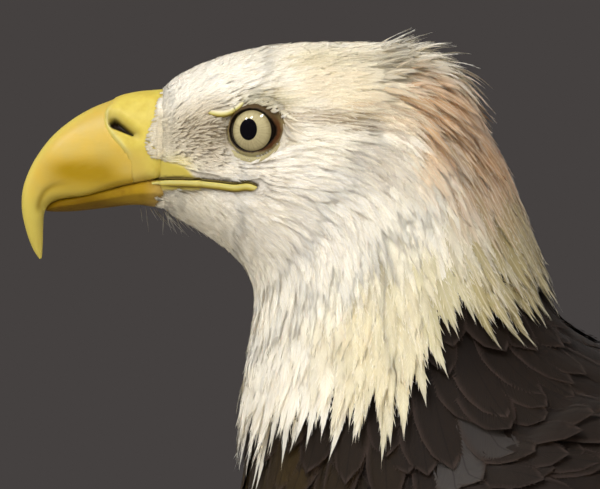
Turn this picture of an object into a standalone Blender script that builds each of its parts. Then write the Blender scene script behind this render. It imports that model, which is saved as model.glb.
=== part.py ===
"""Adult bald eagle, standing, life size.

The bird faces -Y with its left side at +X and stands on z = 0. Its solids give the outline
out to the feather tips. Outline points are given in millimetres, forward of and above the
centre of the eye, because the head sets the scale of the whole bird.
"""

import math
from collections import namedtuple

import bmesh
import bpy
from mathutils import Vector

# Driving dimensions, in metres unless the name says otherwise.
MM = 0.001
EYE_HEIGHT = 0.605
EYE_BACK = -0.1804
GAP = 0.0003

EYEBALL_RADIUS = 0.0106
EYE_OPENING_RADIUS = 0.0080
ORBIT_RADIUS = 0.0165
ORBIT_DEPTH = 0.0026
EYE_SLOPE_REACH_MM = 6.0
BODY_GAP = 1.5 * GAP
SHARP_ANGLE = math.radians(40)

BODY_SIDES = 26
WING_SIDES = 16
TAIL_SIDES = 14
THIGH_SIDES = 14
TARSUS_SIDES = 12
BILL_SIDES = 14
TOE_SIDES = 9
TALON_SIDES = 6
BAR_SIDES = 6
BALL_SEGMENTS = 14
BALL_RINGS = 8

# Rings per section of each lofted form, and rings of each toe pad and talon.
CERE_RINGS = 2.0
UPPER_BILL_RINGS = 1.3
LOWER_BILL_RINGS = 1.4
TAIL_RINGS = 1.5
THIGH_RINGS = 1.15
TARSUS_RINGS = 1.3
PAD_RINGS = 3
TALON_RINGS = 6

FOOT_FORWARD_MM = -150.0
FOOT_SPREAD_MM = 57.0
THIGH_SPREAD_MM = 0.95 * FOOT_SPREAD_MM

# A cross-section of the body. dorsal and ventral are (forward, up) outline points, half_width
# is sideways, square is the superellipse power, and widest moves the widest line up or down.
Section = namedtuple("Section", "dorsal ventral half_width square widest")

BODY = (
    Section((30.4, 12.0), (29.4, -24.2), 15.5, 2.2, -0.15),
    Section((24.0, 17.6), (23.0, -28.2), 19.5, 2.3, -0.08),
    Section((14.0, 22.3), (15.5, -32.2), 24.5, 2.4, 0.02),
    Section((2.0, 25.8), (9.5, -36.4), 29.6, 2.4, 0.06),
    Section((-12.0, 28.4), (4.8, -40.4), 34.0, 2.3, 0.00),
    Section((-27.0, 28.6), (1.6, -44.0), 37.0, 2.2, -0.05),
    Section((-42.0, 28.8), (0.0, -47.6), 38.6, 2.1, -0.05),
    Section((-56.0, 27.0), (-0.8, -51.2), 39.4, 2.0, 0.00),
    Section((-68.6, 18.0), (-0.8, -55.4), 39.8, 2.0, 0.00),
    Section((-75.5, 1.5), (0.2, -61.5), 40.6, 2.0, 0.00),
    Section((-83.0, -12.0), (1.6, -70.5), 42.4, 2.0, 0.00),
    Section((-88.5, -28.0), (2.5, -82.5), 45.5, 2.0, 0.00),
    Section((-93.5, -44.0), (2.8, -98.5), 50.5, 2.0, 0.00),
    Section((-99.0, -59.0), (4.2, -120.0), 59.0, 2.0, 0.00),
    Section((-113.0, -68.0), (8.6, -148.0), 71.0, 2.0, 0.00),
    Section((-134.0, -80.0), (11.5, -181.0), 83.0, 2.1, 0.00),
    Section((-160.0, -102.0), (5.0, -216.0), 91.0, 2.1, 0.00),
    Section((-190.0, -134.0), (-16.0, -253.0), 94.0, 2.1, 0.00),
    Section((-218.0, -172.0), (-49.0, -290.0), 92.0, 2.1, 0.00),
    Section((-242.0, -212.0), (-89.0, -325.0), 85.0, 2.0, 0.00),
    Section((-263.0, -252.0), (-133.0, -355.0), 75.0, 2.0, 0.00),
    Section((-282.0, -291.0), (-178.0, -383.0), 64.0, 2.0, 0.00),
    Section((-300.0, -329.0), (-224.0, -410.0), 54.0, 2.0, 0.00),
    Section((-318.0, -368.0), (-266.0, -430.0), 46.0, 2.0, 0.00),
    Section((-333.0, -405.0), (-299.0, -443.0), 42.0, 2.1, 0.00),
    Section((-343.0, -432.0), (-322.0, -455.0), 40.0, 2.4, 0.00),
)
# Where the body is parted, as places in BODY, with rings per section between them.
BODY_PARTS = (
    ("head", 0.0, 9.0, 1.15),
    ("neck_upper", 9.0, 12.0, 1.0),
    ("neck_lower", 12.0, 14.5, 1.2),
    ("trunk", 14.5, 20.6, 1.15),
    ("rump", 20.6, 25.0, 1.1),
)

UPPER_BILL = (
    Section((30.9, 12.0), (29.9, -15.6), 15.3, 2.3, -0.30),
    Section((39.8, 11.8), (37.3, -17.1), 13.9, 2.3, -0.30),
    Section((44.2, 10.0), (42.0, -18.1), 13.0, 2.3, -0.28),
    Section((50.7, 7.4), (47.4, -19.7), 11.7, 2.2, -0.26),
    Section((57.2, 3.6), (52.8, -21.2), 10.2, 2.2, -0.24),
    Section((63.6, -1.8), (58.4, -21.6), 8.7, 2.2, -0.20),
    Section((68.6, -8.4), (62.8, -22.6), 7.3, 2.1, -0.14),
    Section((71.6, -14.4), (65.0, -24.4), 6.0, 2.1, -0.08),
    Section((73.1, -19.9), (66.1, -26.8), 4.9, 2.0, 0.00),
    Section((73.1, -26.0), (66.4, -31.2), 3.9, 2.0, 0.00),
    Section((71.6, -32.6), (66.5, -35.7), 2.7, 2.0, 0.00),
    Section((69.6, -37.8), (66.7, -39.0), 1.4, 2.0, 0.00),
    Section((67.6, -40.9), (66.9, -40.7), 0.4, 2.0, 0.00),
)
CERE_END = 2.0

LOWER_BILL = (
    Section((29.9, -16.2), (29.9, -24.4), 12.6, 2.4, 0.25),
    Section((37.4, -17.7), (37.3, -23.6), 11.2, 2.4, 0.25),
    Section((47.4, -20.3), (46.6, -24.7), 9.0, 2.3, 0.20),
    Section((56.0, -22.0), (55.8, -26.0), 6.6, 2.2, 0.10),
    Section((61.6, -22.6), (62.0, -25.9), 4.4, 2.1, 0.00),
    Section((64.4, -24.2), (64.6, -25.3), 1.6, 2.0, 0.00),
)

TAIL = (
    Section((-343.6, -432.3), (-322.6, -455.3), 39.0, 2.6, 0.00),
    Section((-356.5, -455.5), (-343.0, -471.0), 41.0, 3.0, 0.00),
    Section((-374.0, -481.0), (-365.5, -491.5), 45.0, 3.4, 0.00),
    Section((-396.0, -509.0), (-389.5, -516.5), 50.0, 3.6, 0.00),
    Section((-414.0, -531.6), (-408.6, -537.8), 52.5, 3.6, 0.00),
    Section((-426.0, -546.8), (-421.6, -551.6), 50.0, 3.4, 0.00),
    Section((-434.0, -557.2), (-431.6, -559.6), 36.0, 3.0, 0.00),
)
TAIL_ARCH_MM = 9.0
TAIL_ROUND_MM = 11.0

# A cross-section of a folded wing: its dorsal and ventral edges as (forward, up, sideways),
# and how far it bulges outward and inward from the line between them.
WingSection = namedtuple("WingSection", "dorsal ventral outward inward")

WING = (
    WingSection((-68, -108, 60), (-46, -126, 67), 8, 4),
    WingSection((-86, -94, 54), (-25, -150, 75), 24, 6),
    WingSection((-114, -84, 42), (-18, -180, 83), 38, 8),
    WingSection((-148, -94, 31), (-28, -214, 89), 49, 8),
    WingSection((-184, -124, 24), (-56, -252, 92), 56, 8),
    WingSection((-218, -164, 19), (-94, -290, 93), 58, 8),
    WingSection((-247, -207, 15), (-136, -324, 89), 55, 8),
    WingSection((-271, -250, 12), (-180, -356, 83), 49, 8),
    WingSection((-292, -290, 9), (-224, -386, 76), 41, 8),
    WingSection((-312, -330, 7), (-266, -412, 70), 32, 8),
    WingSection((-332, -368, 6), (-302, -432, 64), 23, 8),
    WingSection((-352, -406, 7), (-336, -454, 58), 16, 7),
    WingSection((-374, -442, 9), (-364, -474, 52), 11, 6),
    WingSection((-394, -478, 14), (-388, -498, 44), 7, 4),
    WingSection((-410, -508, 20), (-407, -517, 35), 4, 3),
    WingSection((-420, -527, 25), (-419.4, -528, 27), 1.0, 0.8),
)
WING_PARTS = (
    ("wing", 0.0, 5.0, 1.2),
    ("secondaries", 5.0, 10.0, 1.0),
    ("primaries", 10.0, 15.0, 1.0),
)

# Legs: front and rear outline points, and half the width, of each level.
THIGH = (
    Section((-80, -286), (-196, -296), 33.0, 2.0, 0.0),
    Section((-76, -320), (-210, -336), 39.0, 2.0, 0.0),
    Section((-85, -354), (-213, -376), 39.5, 2.0, 0.0),
    Section((-101, -388), (-211, -414), 36.5, 2.0, 0.0),
    Section((-117, -421), (-206, -448), 32.0, 2.0, 0.0),
    Section((-130, -452), (-200, -478), 26.5, 2.0, 0.0),
    Section((-139, -478), (-194, -500), 21.0, 2.0, 0.0),
    Section((-145, -496), (-187, -512), 16.0, 2.0, 0.0),
)
TARSUS = (
    Section((-151.0, -498.8), (-180.0, -509.8), 10.8, 2.0, 0.0),
    Section((-149.5, -517.0), (-174.5, -524.0), 9.8, 2.0, 0.0),
    Section((-146.5, -541.0), (-168.5, -546.0), 9.2, 2.0, 0.0),
    Section((-142.0, -562.0), (-165.0, -567.0), 9.8, 2.0, 0.0),
    Section((-135.0, -577.0), (-165.5, -582.0), 13.0, 2.0, 0.0),
    Section((-132.0, -590.0), (-168.0, -591.0), 15.5, 2.2, 0.0),
    Section((-132.5, -599.0), (-167.5, -599.0), 15.0, 2.2, 0.0),
    Section((-136.0, -605.0), (-164.0, -605.0), 12.0, 2.2, 0.0),
)

# Toes: heading outward from straight ahead (degrees), length, thickness at the root and the
# tip, number of pads, and the talon's length along its curve and its root radius.
Toe = namedtuple("Toe", "name heading length root tip pads talon talon_radius")
TOES = (
    Toe("toe_middle", 3.0, 88.0, 10.5, 7.6, 3, 35.0, 5.2),
    Toe("toe_inner", -34.0, 66.0, 10.8, 8.4, 2, 39.0, 5.8),
    Toe("toe_outer", 42.0, 72.0, 9.8, 7.0, 3, 30.0, 4.6),
    Toe("toe_hind", 184.0, 52.0, 10.8, 8.4, 2, 43.0, 6.2),
)
TALON_TURN = math.radians(92)
TALON_RISE = math.radians(26)
TALON_TIP_HEIGHT_MM = 1.2
TALON_SET_IN_MM = 5.0
TALON_TIP_RADIUS_MM = 0.35
TALON_TAPER = 0.75
TALON_NARROWING = 0.85
TOE_START = 0.10
TOE_END_NARROWING = 0.72
PAD_SWELL = 0.10
SOLE_HEIGHT = 0.86

# The yellow ridges of bare skin: the first point of each in side view, the step to the next
# one, how much the steps bend upward, how many points, its radius and how far it stands out.
Ridge = namedtuple("Ridge", "start step bend points radius stand_out")
BROW = Ridge((14.5, 5.3), (-4.9, 2.5), -0.16, 5, 1.7, 0.6)
GAPE = Ridge((29.0, -16.2), (-6.2, -0.55), 0.05, 6, 1.7, -0.3)
RIDGE_END_RADIUS = 0.35
RIDGE_SPAN = (0.12, 0.80)
HEAD_SEARCH_STEP = 0.05

SIDES = (("left", 1), ("right", -1))


def place(forward, up, sideways=0.0):
    """World point from millimetres forward of, above and beside the centre of the eye."""
    return Vector((sideways * MM, EYE_BACK - forward * MM, EYE_HEIGHT + up * MM))


def material(name, colour, roughness):
    mat = bpy.data.materials.new(name)
    mat.use_nodes = True
    shader = mat.node_tree.nodes["Principled BSDF"]
    shader.inputs["Base Color"].default_value = (*colour, 1.0)
    shader.inputs["Roughness"].default_value = roughness
    shader.inputs["Metallic"].default_value = 0.0
    mat.diffuse_color = (*colour, 1.0)
    return mat


def blend(a, b, c, d, t):
    """Value between b and c on the smooth curve through a, b, c and d."""
    return 0.5 * (
        2 * b + (c - a) * t + (2 * a - 5 * b + 4 * c - d) * t**2 + (3 * b - a - 3 * c + d) * t**3
    )


def blend_all(a, b, c, d, t):
    """The same for every value in four tuples of the same make-up."""
    return tuple(
        blend_all(*four, t) if isinstance(four[0], tuple) else blend(*four, t)
        for four in zip(a, b, c, d)
    )


def section_at(sections, where):
    """The smoothly interpolated cross-section at a fractional place in a list of them."""
    last = len(sections) - 1
    low = min(int(where), last - 1)
    four = [sections[min(max(low + step, 0), last)] for step in (-1, 0, 1, 2)]
    return type(sections[0])(*blend_all(*four, where - low))


def power(value, exponent):
    return math.copysign(abs(value) ** exponent, value)


def body_ring(section, sides, grow=0.0, sideways=0.0):
    """Points round a cross-section, from its dorsal point over +X to its ventral point and back."""
    dorsal = place(*section.dorsal)
    ventral = place(*section.ventral)
    centre = (dorsal + ventral) / 2 + Vector((sideways * MM, 0, 0))
    half = (dorsal - ventral) / 2
    tall = half.length + grow
    wide = max(section.half_width * MM, 0.0) + grow
    points = []
    for side in range(sides):
        angle = 2 * math.pi * side / sides
        height = power(math.cos(angle), 2 / section.square)
        across = power(math.sin(angle), 2 / section.square)
        height += section.widest * (1 - height**2)
        points.append(centre + half.normalized() * height * tall + Vector((across * wide, 0, 0)))
    return points


def loft(name, rings, mat):
    """One closed solid through rings of equally many points, with flat ends.

    Its sides are triangles, so that a piece and its cutter have their facets alike.
    """
    mesh = bpy.data.meshes.new(name)
    bm = bmesh.new()
    rows = [[bm.verts.new(point) for point in ring] for ring in rings]
    for row, after in zip(rows, rows[1:]):
        for i in range(len(row)):
            j = (i + 1) % len(row)
            bm.faces.new((row[i], row[j], after[j]))
            bm.faces.new((row[i], after[j], after[i]))
    bm.faces.new(rows[0])
    bm.faces.new(rows[-1])
    bmesh.ops.recalc_face_normals(bm, faces=bm.faces)
    bm.to_mesh(mesh)
    bm.free()
    mesh.shade_smooth()
    mesh.set_sharp_from_angle(angle=SHARP_ANGLE)
    piece = bpy.data.objects.new(name, mesh)
    bpy.context.scene.collection.objects.link(piece)
    if mat:
        mesh.materials.append(mat)
    return piece


def as_cutter(piece):
    piece.hide_render = True
    piece.display_type = "WIRE"
    return piece


def cut(piece, *cutters):
    """Takes the cutters away from the piece."""
    for cutter in cutters:
        modifier = piece.modifiers.new("cut_" + cutter.name, "BOOLEAN")
        modifier.operation = "DIFFERENCE"
        modifier.solver = "EXACT"
        modifier.object = cutter


def stations(first, last, per_section):
    """Evenly spaced places from first to last, both included."""
    count = max(2, round((last - first) * per_section) + 1)
    return [first + (last - first) * i / (count - 1) for i in range(count)]


def all_stations(parts):
    """The places of every ring of a parted form, so that a cutter has the same facets."""
    places = []
    for _, first, last, density in parts:
        places += stations(first, last, density)
    return sorted(set(places))


def parted(rings, start_open, end_open):
    """Draws the end rings back by half a gap wherever the piece meets a neighbour."""
    rings = [list(ring) for ring in rings]
    for is_open, end, inner in ((start_open, 0, 1), (end_open, -1, -2)):
        if is_open:
            normal = (rings[end][1] - rings[end][0]).cross(rings[end][-1] - rings[end][0]).normalized()
            middle = sum(rings[end], Vector()) / len(rings[end])
            inward = sum(rings[inner], Vector()) / len(rings[inner]) - middle
            if normal.dot(inward) < 0:
                normal.negate()
            rings[end] = [point + normal * GAP / 2 for point in rings[end]]
    return rings


def make_body(feathers):
    """Head, neck, trunk and rump: one smooth form, parted across by thin flat cuts."""
    pieces = {}
    for index, (name, first, last, density) in enumerate(BODY_PARTS):
        rings = [body_ring(section_at(BODY, t), BODY_SIDES) for t in stations(first, last, density)]
        rings = parted(rings, index > 0, index < len(BODY_PARTS) - 1)
        pieces[name] = loft(name, rings, feathers["white" if index < 3 else "brown"])
    return pieces


def body_cutter():
    """The whole body a gap larger, which shapes the inner faces of the wings and thighs."""
    places = all_stations(BODY_PARTS[1:])
    rings = [body_ring(section_at(BODY, t), BODY_SIDES, BODY_GAP) for t in places]
    return as_cutter(loft("body_cutter", rings, None))


def side_of_head(forward, up):
    """Half the head's width in millimetres at a point of its side view."""
    best = None
    head_end = BODY_PARTS[0][2]
    for step in range(round(head_end / HEAD_SEARCH_STEP) + 1):
        section = section_at(BODY, step * HEAD_SEARCH_STEP)
        top = Vector(section.dorsal)
        line = Vector(section.ventral) - top
        offset = Vector((forward, up)) - top
        along = offset.dot(line) / line.length_squared
        off_line = abs(offset.x * line.y - offset.y * line.x) / line.length
        if best is None or off_line < best[0]:
            best = (off_line, 1 - 2 * along, section)
    height, section = best[1], best[2]
    shift = section.widest
    if abs(shift) > 1e-6:
        height = (1 - math.sqrt(1 - 4 * shift * (height - shift))) / (2 * shift)
    height = min(abs(height), 1.0)
    return section.half_width * (1 - height**section.square) ** (1 / section.square)


def bar_rings(points, radii, sides, grow=0.0):
    """Round rings along a path of points, in millimetres, square to the path."""
    rings = []
    for i, (point, radius) in enumerate(zip(points, radii)):
        ahead = points[min(i + 1, len(points) - 1)] - points[max(i - 1, 0)]
        ahead.normalize()
        across = ahead.cross(Vector((0, 0, 1))).normalized()
        upward = across.cross(ahead)
        reach = radius * MM + grow
        ring = []
        for side in range(sides):
            angle = 2 * math.pi * side / sides
            ring.append(point + (across * math.cos(angle) + upward * math.sin(angle)) * reach)
        rings.append(ring)
    return rings


def head_ridge(name, sign, ridge, mat, head):
    """A tapered bar let into the side of the head along its side-view route."""
    points = []
    radii = []
    for i in range(ridge.points):
        forward = ridge.start[0] + ridge.step[0] * i
        up = ridge.start[1] + ridge.step[1] * i + ridge.bend * i * i
        beside = sign * (side_of_head(forward, up) + ridge.stand_out)
        points.append(place(forward, up, beside))
        along = RIDGE_SPAN[0] + RIDGE_SPAN[1] * i / (ridge.points - 1)
        fullness = RIDGE_END_RADIUS + (1 - RIDGE_END_RADIUS) * math.sin(math.pi * along)
        radii.append(ridge.radius * fullness)
    bar = loft(name, bar_rings(points, radii, BAR_SIDES), mat)
    cutter = loft(name + "_cutter", bar_rings(points, radii, BAR_SIDES, GAP), None)
    cut(head, as_cutter(cutter))
    return bar


def sphere(name, radius, centre, mat):
    """A ball with its poles at the sides."""
    mesh = bpy.data.meshes.new(name)
    bm = bmesh.new()
    bmesh.ops.create_uvsphere(bm, u_segments=BALL_SEGMENTS, v_segments=BALL_RINGS, radius=radius)
    bm.to_mesh(mesh)
    bm.free()
    mesh.shade_smooth()
    if mat:
        mesh.materials.append(mat)
    ball = bpy.data.objects.new(name, mesh)
    ball.location = centre
    ball.rotation_euler = (0, math.radians(90), 0)
    bpy.context.scene.collection.objects.link(ball)
    return ball


def make_eye(name, sign, mat, head):
    """An eyeball at the bottom of a shallow orbit, with only its front cap showing.

    It looks square to the side of the head there, so a little forward. Returns its socket.
    """
    surface = place(0.0, 0.0, sign * side_of_head(0.0, 0.0))
    widening = side_of_head(-EYE_SLOPE_REACH_MM, 0.0) - side_of_head(EYE_SLOPE_REACH_MM, 0.0)
    outward = Vector((sign, -widening / (2 * EYE_SLOPE_REACH_MM), 0)).normalized()
    set_in = math.sqrt(EYEBALL_RADIUS**2 - EYE_OPENING_RADIUS**2) + ORBIT_DEPTH
    centre = surface - outward * set_in
    orbit_centre = surface + outward * (ORBIT_RADIUS - ORBIT_DEPTH)
    sphere(name, EYEBALL_RADIUS, centre, mat)
    socket = as_cutter(sphere(name + "_socket", EYEBALL_RADIUS + GAP, centre, None))
    orbit = as_cutter(sphere(name + "_orbit", ORBIT_RADIUS, orbit_centre, None))
    cut(head, orbit, socket)
    return socket


def make_bill(horn, skin):
    """Cere, hooked upper bill and lower bill, lofted along their curved middle lines."""
    last = len(UPPER_BILL) - 1
    for name, first, end, density, mat in (
        ("cere", 0.0, CERE_END, CERE_RINGS, skin),
        ("bill_upper", CERE_END, last, UPPER_BILL_RINGS, horn),
    ):
        places = stations(first, end, density)
        rings = [body_ring(section_at(UPPER_BILL, t), BILL_SIDES) for t in places]
        loft(name, parted(rings, name == "bill_upper", name == "cere"), mat)
    places = stations(0.0, len(LOWER_BILL) - 1, LOWER_BILL_RINGS)
    rings = [body_ring(section_at(LOWER_BILL, t), BILL_SIDES) for t in places]
    loft("bill_lower", rings, horn)


def make_tail(mat):
    """The closed tail: a thin blade, arched across and rounded at its end."""
    last = len(TAIL) - 1
    along = (place(*TAIL[-1].dorsal) - place(*TAIL[0].dorsal)).normalized()
    above = Vector((1, 0, 0)).cross(along).normalized()
    if above.z < 0:
        above.negate()
    pieces = []
    for name, grow in (("tail", 0.0), ("tail_cutter", GAP)):
        rings = []
        for t in stations(0.0, last, TAIL_RINGS):
            section = section_at(TAIL, t)
            bend = t / last
            ring = []
            for point in body_ring(section, TAIL_SIDES, grow):
                edge = (point.x / (section.half_width * MM)) ** 2
                drop = above * edge * TAIL_ARCH_MM * MM * bend
                back = along * edge * TAIL_ROUND_MM * MM * bend**2
                ring.append(point - drop - back)
            rings.append(ring)
        pieces.append(loft(name, rings, mat if grow == 0.0 else None))
    return as_cutter(pieces[1])


def wing_ring(section, sign, grow=0.0):
    """A lens-shaped ring between the folded wing's dorsal and ventral edges."""
    dorsal = place(*section.dorsal)
    ventral = place(*section.ventral)
    span = (dorsal - ventral) / 2
    centre = (dorsal + ventral) / 2
    out = (Vector((span.length_squared, 0, 0)) - span * span.x).normalized()
    ring = []
    for side in range(WING_SIDES):
        angle = 2 * math.pi * side / WING_SIDES
        bulge = section.outward if math.sin(angle) > 0 else section.inward
        along = span.normalized() * (span.length + grow) * math.cos(angle)
        point = centre + along + out * (bulge * MM + grow) * math.sin(angle)
        ring.append(Vector((sign * point.x, point.y, point.z)))
    return ring


def make_wing(side_name, sign, mat, body, tail):
    """A folded wing in three lengths, hollowed to the body it lies against."""
    for index, (name, first, last, density) in enumerate(WING_PARTS):
        rings = [wing_ring(section_at(WING, t), sign) for t in stations(first, last, density)]
        rings = parted(rings, index > 0, index < len(WING_PARTS) - 1)
        wing = loft(name + "_" + side_name, rings, mat)
        cut(wing, body)
        if name == "primaries":
            cut(wing, tail)
    rings = [wing_ring(section_at(WING, t), sign, BODY_GAP) for t in all_stations(WING_PARTS)]
    return as_cutter(loft("wing_cutter_" + side_name, rings, None))


def make_leg(side_name, sign, thigh_mat, scale_mat, body, wing):
    """Feathered thigh and bare tarsus. Returns the tarsus, a gap larger, for cutting the toes."""
    rings = []
    for t in stations(0.0, len(THIGH) - 1, THIGH_RINGS):
        rings.append(body_ring(section_at(THIGH, t), THIGH_SIDES, 0.0, sign * THIGH_SPREAD_MM))
    thigh = loft("thigh_" + side_name, rings, thigh_mat)
    cut(thigh, body, wing)
    levels = stations(0.0, len(TARSUS) - 1, TARSUS_RINGS)
    for name, grow in (("tarsus_", 0.0), ("tarsus_cutter_", GAP)):
        rings = []
        for t in levels:
            section = section_at(TARSUS, t)
            ring = body_ring(section, TARSUS_SIDES, grow, sign * FOOT_SPREAD_MM)
            if t == levels[-1]:
                ring = [Vector((point.x, point.y, -grow)) for point in ring]
            rings.append(ring)
        tarsus = loft(name + side_name, rings, scale_mat if grow == 0.0 else None)
    return as_cutter(tarsus)


def toe_frame(toe, sign):
    """Where a toe starts, and its level heading."""
    heading = math.radians(toe.heading)
    ahead = Vector((sign * math.sin(heading), -math.cos(heading), 0))
    start = Vector((sign * FOOT_SPREAD_MM * MM, EYE_BACK - FOOT_FORWARD_MM * MM, 0))
    return start, ahead


def toe_rings(toe, sign, grow=0.0):
    """Rings along a padded toe, flattened where the pads meet the floor."""
    start, ahead = toe_frame(toe, sign)
    across = ahead.cross(Vector((0, 0, 1)))
    rings = []
    count = PAD_RINGS * toe.pads
    for i in range(count + 1):
        share = i / count
        radius = toe.root + (toe.tip - toe.root) * share
        pad = math.cos(2 * math.pi * toe.pads * (share - 0.5 / toe.pads))
        radius *= 1 - PAD_SWELL + PAD_SWELL * pad
        if i == count:
            radius *= TOE_END_NARROWING
        middle = start + ahead * toe.length * MM * (TOE_START + (1 - TOE_START) * share)
        middle.z = radius * MM * SOLE_HEIGHT
        ring = []
        for side in range(TOE_SIDES):
            angle = 2 * math.pi * side / TOE_SIDES
            reach = radius * MM + grow
            point = middle + across * reach * math.cos(angle) + Vector((0, 0, reach * math.sin(angle)))
            point.z = max(point.z, -grow)
            ring.append(point)
        rings.append(ring)
    return rings


def talon_rings(toe, sign, grow=0.0):
    """Rings along a claw that rises from the toe's end and curves down to just off the floor."""
    start, ahead = toe_frame(toe, sign)
    across = ahead.cross(Vector((0, 0, 1)))
    bend = toe.talon / TALON_TURN
    drop = bend * (math.cos(TALON_TURN - TALON_RISE) - math.cos(TALON_RISE))
    root = start + ahead * (toe.length - TALON_SET_IN_MM) * MM
    root.z = (TALON_TIP_HEIGHT_MM - drop) * MM
    rings = []
    for i in range(TALON_RINGS + 1):
        share = i / TALON_RINGS
        slope = TALON_RISE - TALON_TURN * share
        ahead_by = bend * (math.sin(TALON_RISE) - math.sin(slope))
        up_by = bend * (math.cos(slope) - math.cos(TALON_RISE))
        middle = root + ahead * ahead_by * MM + Vector((0, 0, up_by * MM))
        upward = ahead * -math.sin(slope) + Vector((0, 0, math.cos(slope)))
        reach = (toe.talon_radius * (1 - share) ** TALON_TAPER + TALON_TIP_RADIUS_MM) * MM
        ring = []
        for side in range(TALON_SIDES):
            angle = 2 * math.pi * side / TALON_SIDES
            wide = across * math.cos(angle) * (reach * TALON_NARROWING + grow)
            ring.append(middle + wide + upward * math.sin(angle) * (reach + grow))
        rings.append(ring)
    return rings


def make_foot(side_name, sign, scale_mat, claw_mat, tarsus):
    """Four toes round the foot's ball, each with its talon let into its end."""
    middle = None
    for toe in TOES:
        piece = loft(toe.name + "_" + side_name, toe_rings(toe, sign), scale_mat)
        talon_name = toe.name.replace("toe", "talon") + "_" + side_name
        loft(talon_name, talon_rings(toe, sign), claw_mat)
        socket = as_cutter(loft(talon_name + "_cutter", talon_rings(toe, sign, GAP), None))
        cut(piece, tarsus, socket)
        if toe.name == "toe_middle":
            grown = loft(toe.name + "_cutter_" + side_name, toe_rings(toe, sign, GAP), None)
            middle = as_cutter(grown)
        elif toe.name != "toe_hind":
            cut(piece, middle)


def main():
    for old in list(bpy.data.objects):
        bpy.data.objects.remove(old)
    feathers = {
        "white": material("white_plumage", (0.84, 0.79, 0.68), 0.8),
        "brown": material("brown_plumage", (0.045, 0.030, 0.022), 0.75),
    }
    tail_white = material("white_tail", (0.84, 0.80, 0.70), 0.8)
    horn = material("bill_horn", (0.80, 0.56, 0.08), 0.35)
    bare_skin = material("yellow_skin", (0.78, 0.58, 0.12), 0.5)
    scales = material("scaled_skin", (0.76, 0.54, 0.08), 0.5)
    claw = material("black_claw", (0.02, 0.018, 0.016), 0.3)
    eye = material("pale_iris", (0.68, 0.58, 0.32), 0.08)

    pieces = make_body(feathers)
    head = pieces["head"]
    make_bill(horn, bare_skin)
    body = body_cutter()
    tail = make_tail(tail_white)
    for side_name, sign in SIDES:
        socket = make_eye("eye_" + side_name, sign, eye, head)
        brow = head_ridge("brow_" + side_name, sign, BROW, bare_skin, head)
        cut(brow, socket)
        head_ridge("gape_" + side_name, sign, GAPE, bare_skin, head)
        wing = make_wing(side_name, sign, feathers["brown"], body, tail)
        tarsus = make_leg(side_name, sign, feathers["brown"], scales, body, wing)
        make_foot(side_name, sign, scales, claw, tarsus)


main()
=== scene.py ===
"""The finished look of a life-size bald eagle, standing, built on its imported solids.

The bird faces -Y with its left side at +X and stands on z = 0. Points given in millimetres are
forward of, above and beside the centre of the eye. One skin lies just inside the solids of
flesh, and every feather is a small mesh that follows that skin from its root to its tip.
"""

import math
from collections import namedtuple

import bmesh
import bpy
import numpy as np
from bpy.props import FloatProperty, FloatVectorProperty, PointerProperty
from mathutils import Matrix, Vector
from mathutils.bvhtree import BVHTree


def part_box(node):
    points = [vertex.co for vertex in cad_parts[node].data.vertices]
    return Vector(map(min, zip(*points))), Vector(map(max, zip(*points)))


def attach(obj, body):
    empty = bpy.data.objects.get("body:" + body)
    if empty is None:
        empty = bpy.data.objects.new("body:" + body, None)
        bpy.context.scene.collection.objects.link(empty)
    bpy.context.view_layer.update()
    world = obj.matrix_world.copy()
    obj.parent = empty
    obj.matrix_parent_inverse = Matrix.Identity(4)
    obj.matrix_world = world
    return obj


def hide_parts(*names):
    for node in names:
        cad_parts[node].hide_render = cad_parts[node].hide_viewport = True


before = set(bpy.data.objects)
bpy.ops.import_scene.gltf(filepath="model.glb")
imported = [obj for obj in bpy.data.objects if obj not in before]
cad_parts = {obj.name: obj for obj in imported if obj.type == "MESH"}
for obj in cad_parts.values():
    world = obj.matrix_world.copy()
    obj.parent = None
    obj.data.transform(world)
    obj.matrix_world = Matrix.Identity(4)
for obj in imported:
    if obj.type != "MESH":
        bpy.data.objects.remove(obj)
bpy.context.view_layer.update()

bl_info = {
    "name": "Bald Eagle",
    "version": (1, 0, 0),
    "blender": (4, 5, 0),
    "location": "3D View > Sidebar > Eagle",
    "description": "Adds the eagle's skin, bill, eyes, feathers and feet to its solids",
    "category": "Object",
}

MM = 0.001
EYE_HEIGHT = 0.605
EYE_BACK = -0.1804
SIDES = (("left", 1), ("right", -1))
BAKE_MAP = "OFBake"
VANE_MAP = "vane"
PATCH = 0.003
# Parts of the skin by the solids that they lie nearest to, and its depth in the last two.
BODY, WING_SIDE, THIGH = range(3)
SKIN_NODES = (
    ["head", "neck_upper", "neck_lower", "trunk", "rump"],
    [name + side for name in ("wing_", "secondaries_") for side, _ in SIDES],
    ["thigh_" + side for side, _ in SIDES],
)
WING_DEPTH = 2.4
THIGH_DEPTH = 3.2
# The face, from rear to front and from low to high: its skin is divided finer, for its folds.
FACE = (-14, 36, -30, 20)
# How much the solids grow before they are merged, in metres, so that they overlap.
GROWTH = 0.0004
# Seeds of the random draws, one for each coat, so that each can be changed by itself.
SEEDS = {"white": 11, "hem": 71, "bristles": 83, "lids": 97, "brown": 23, "wings": 37, "tail": 51}

# Settings of a Mix node that mixes colours, and its input sockets, by number.
MIX = {"out": 2, "data_type": "RGBA"}
FACTOR, FIRST, SECOND = 0, 6, 7
SMOOTH = {"interpolation_type": "SMOOTHSTEP"}

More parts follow.
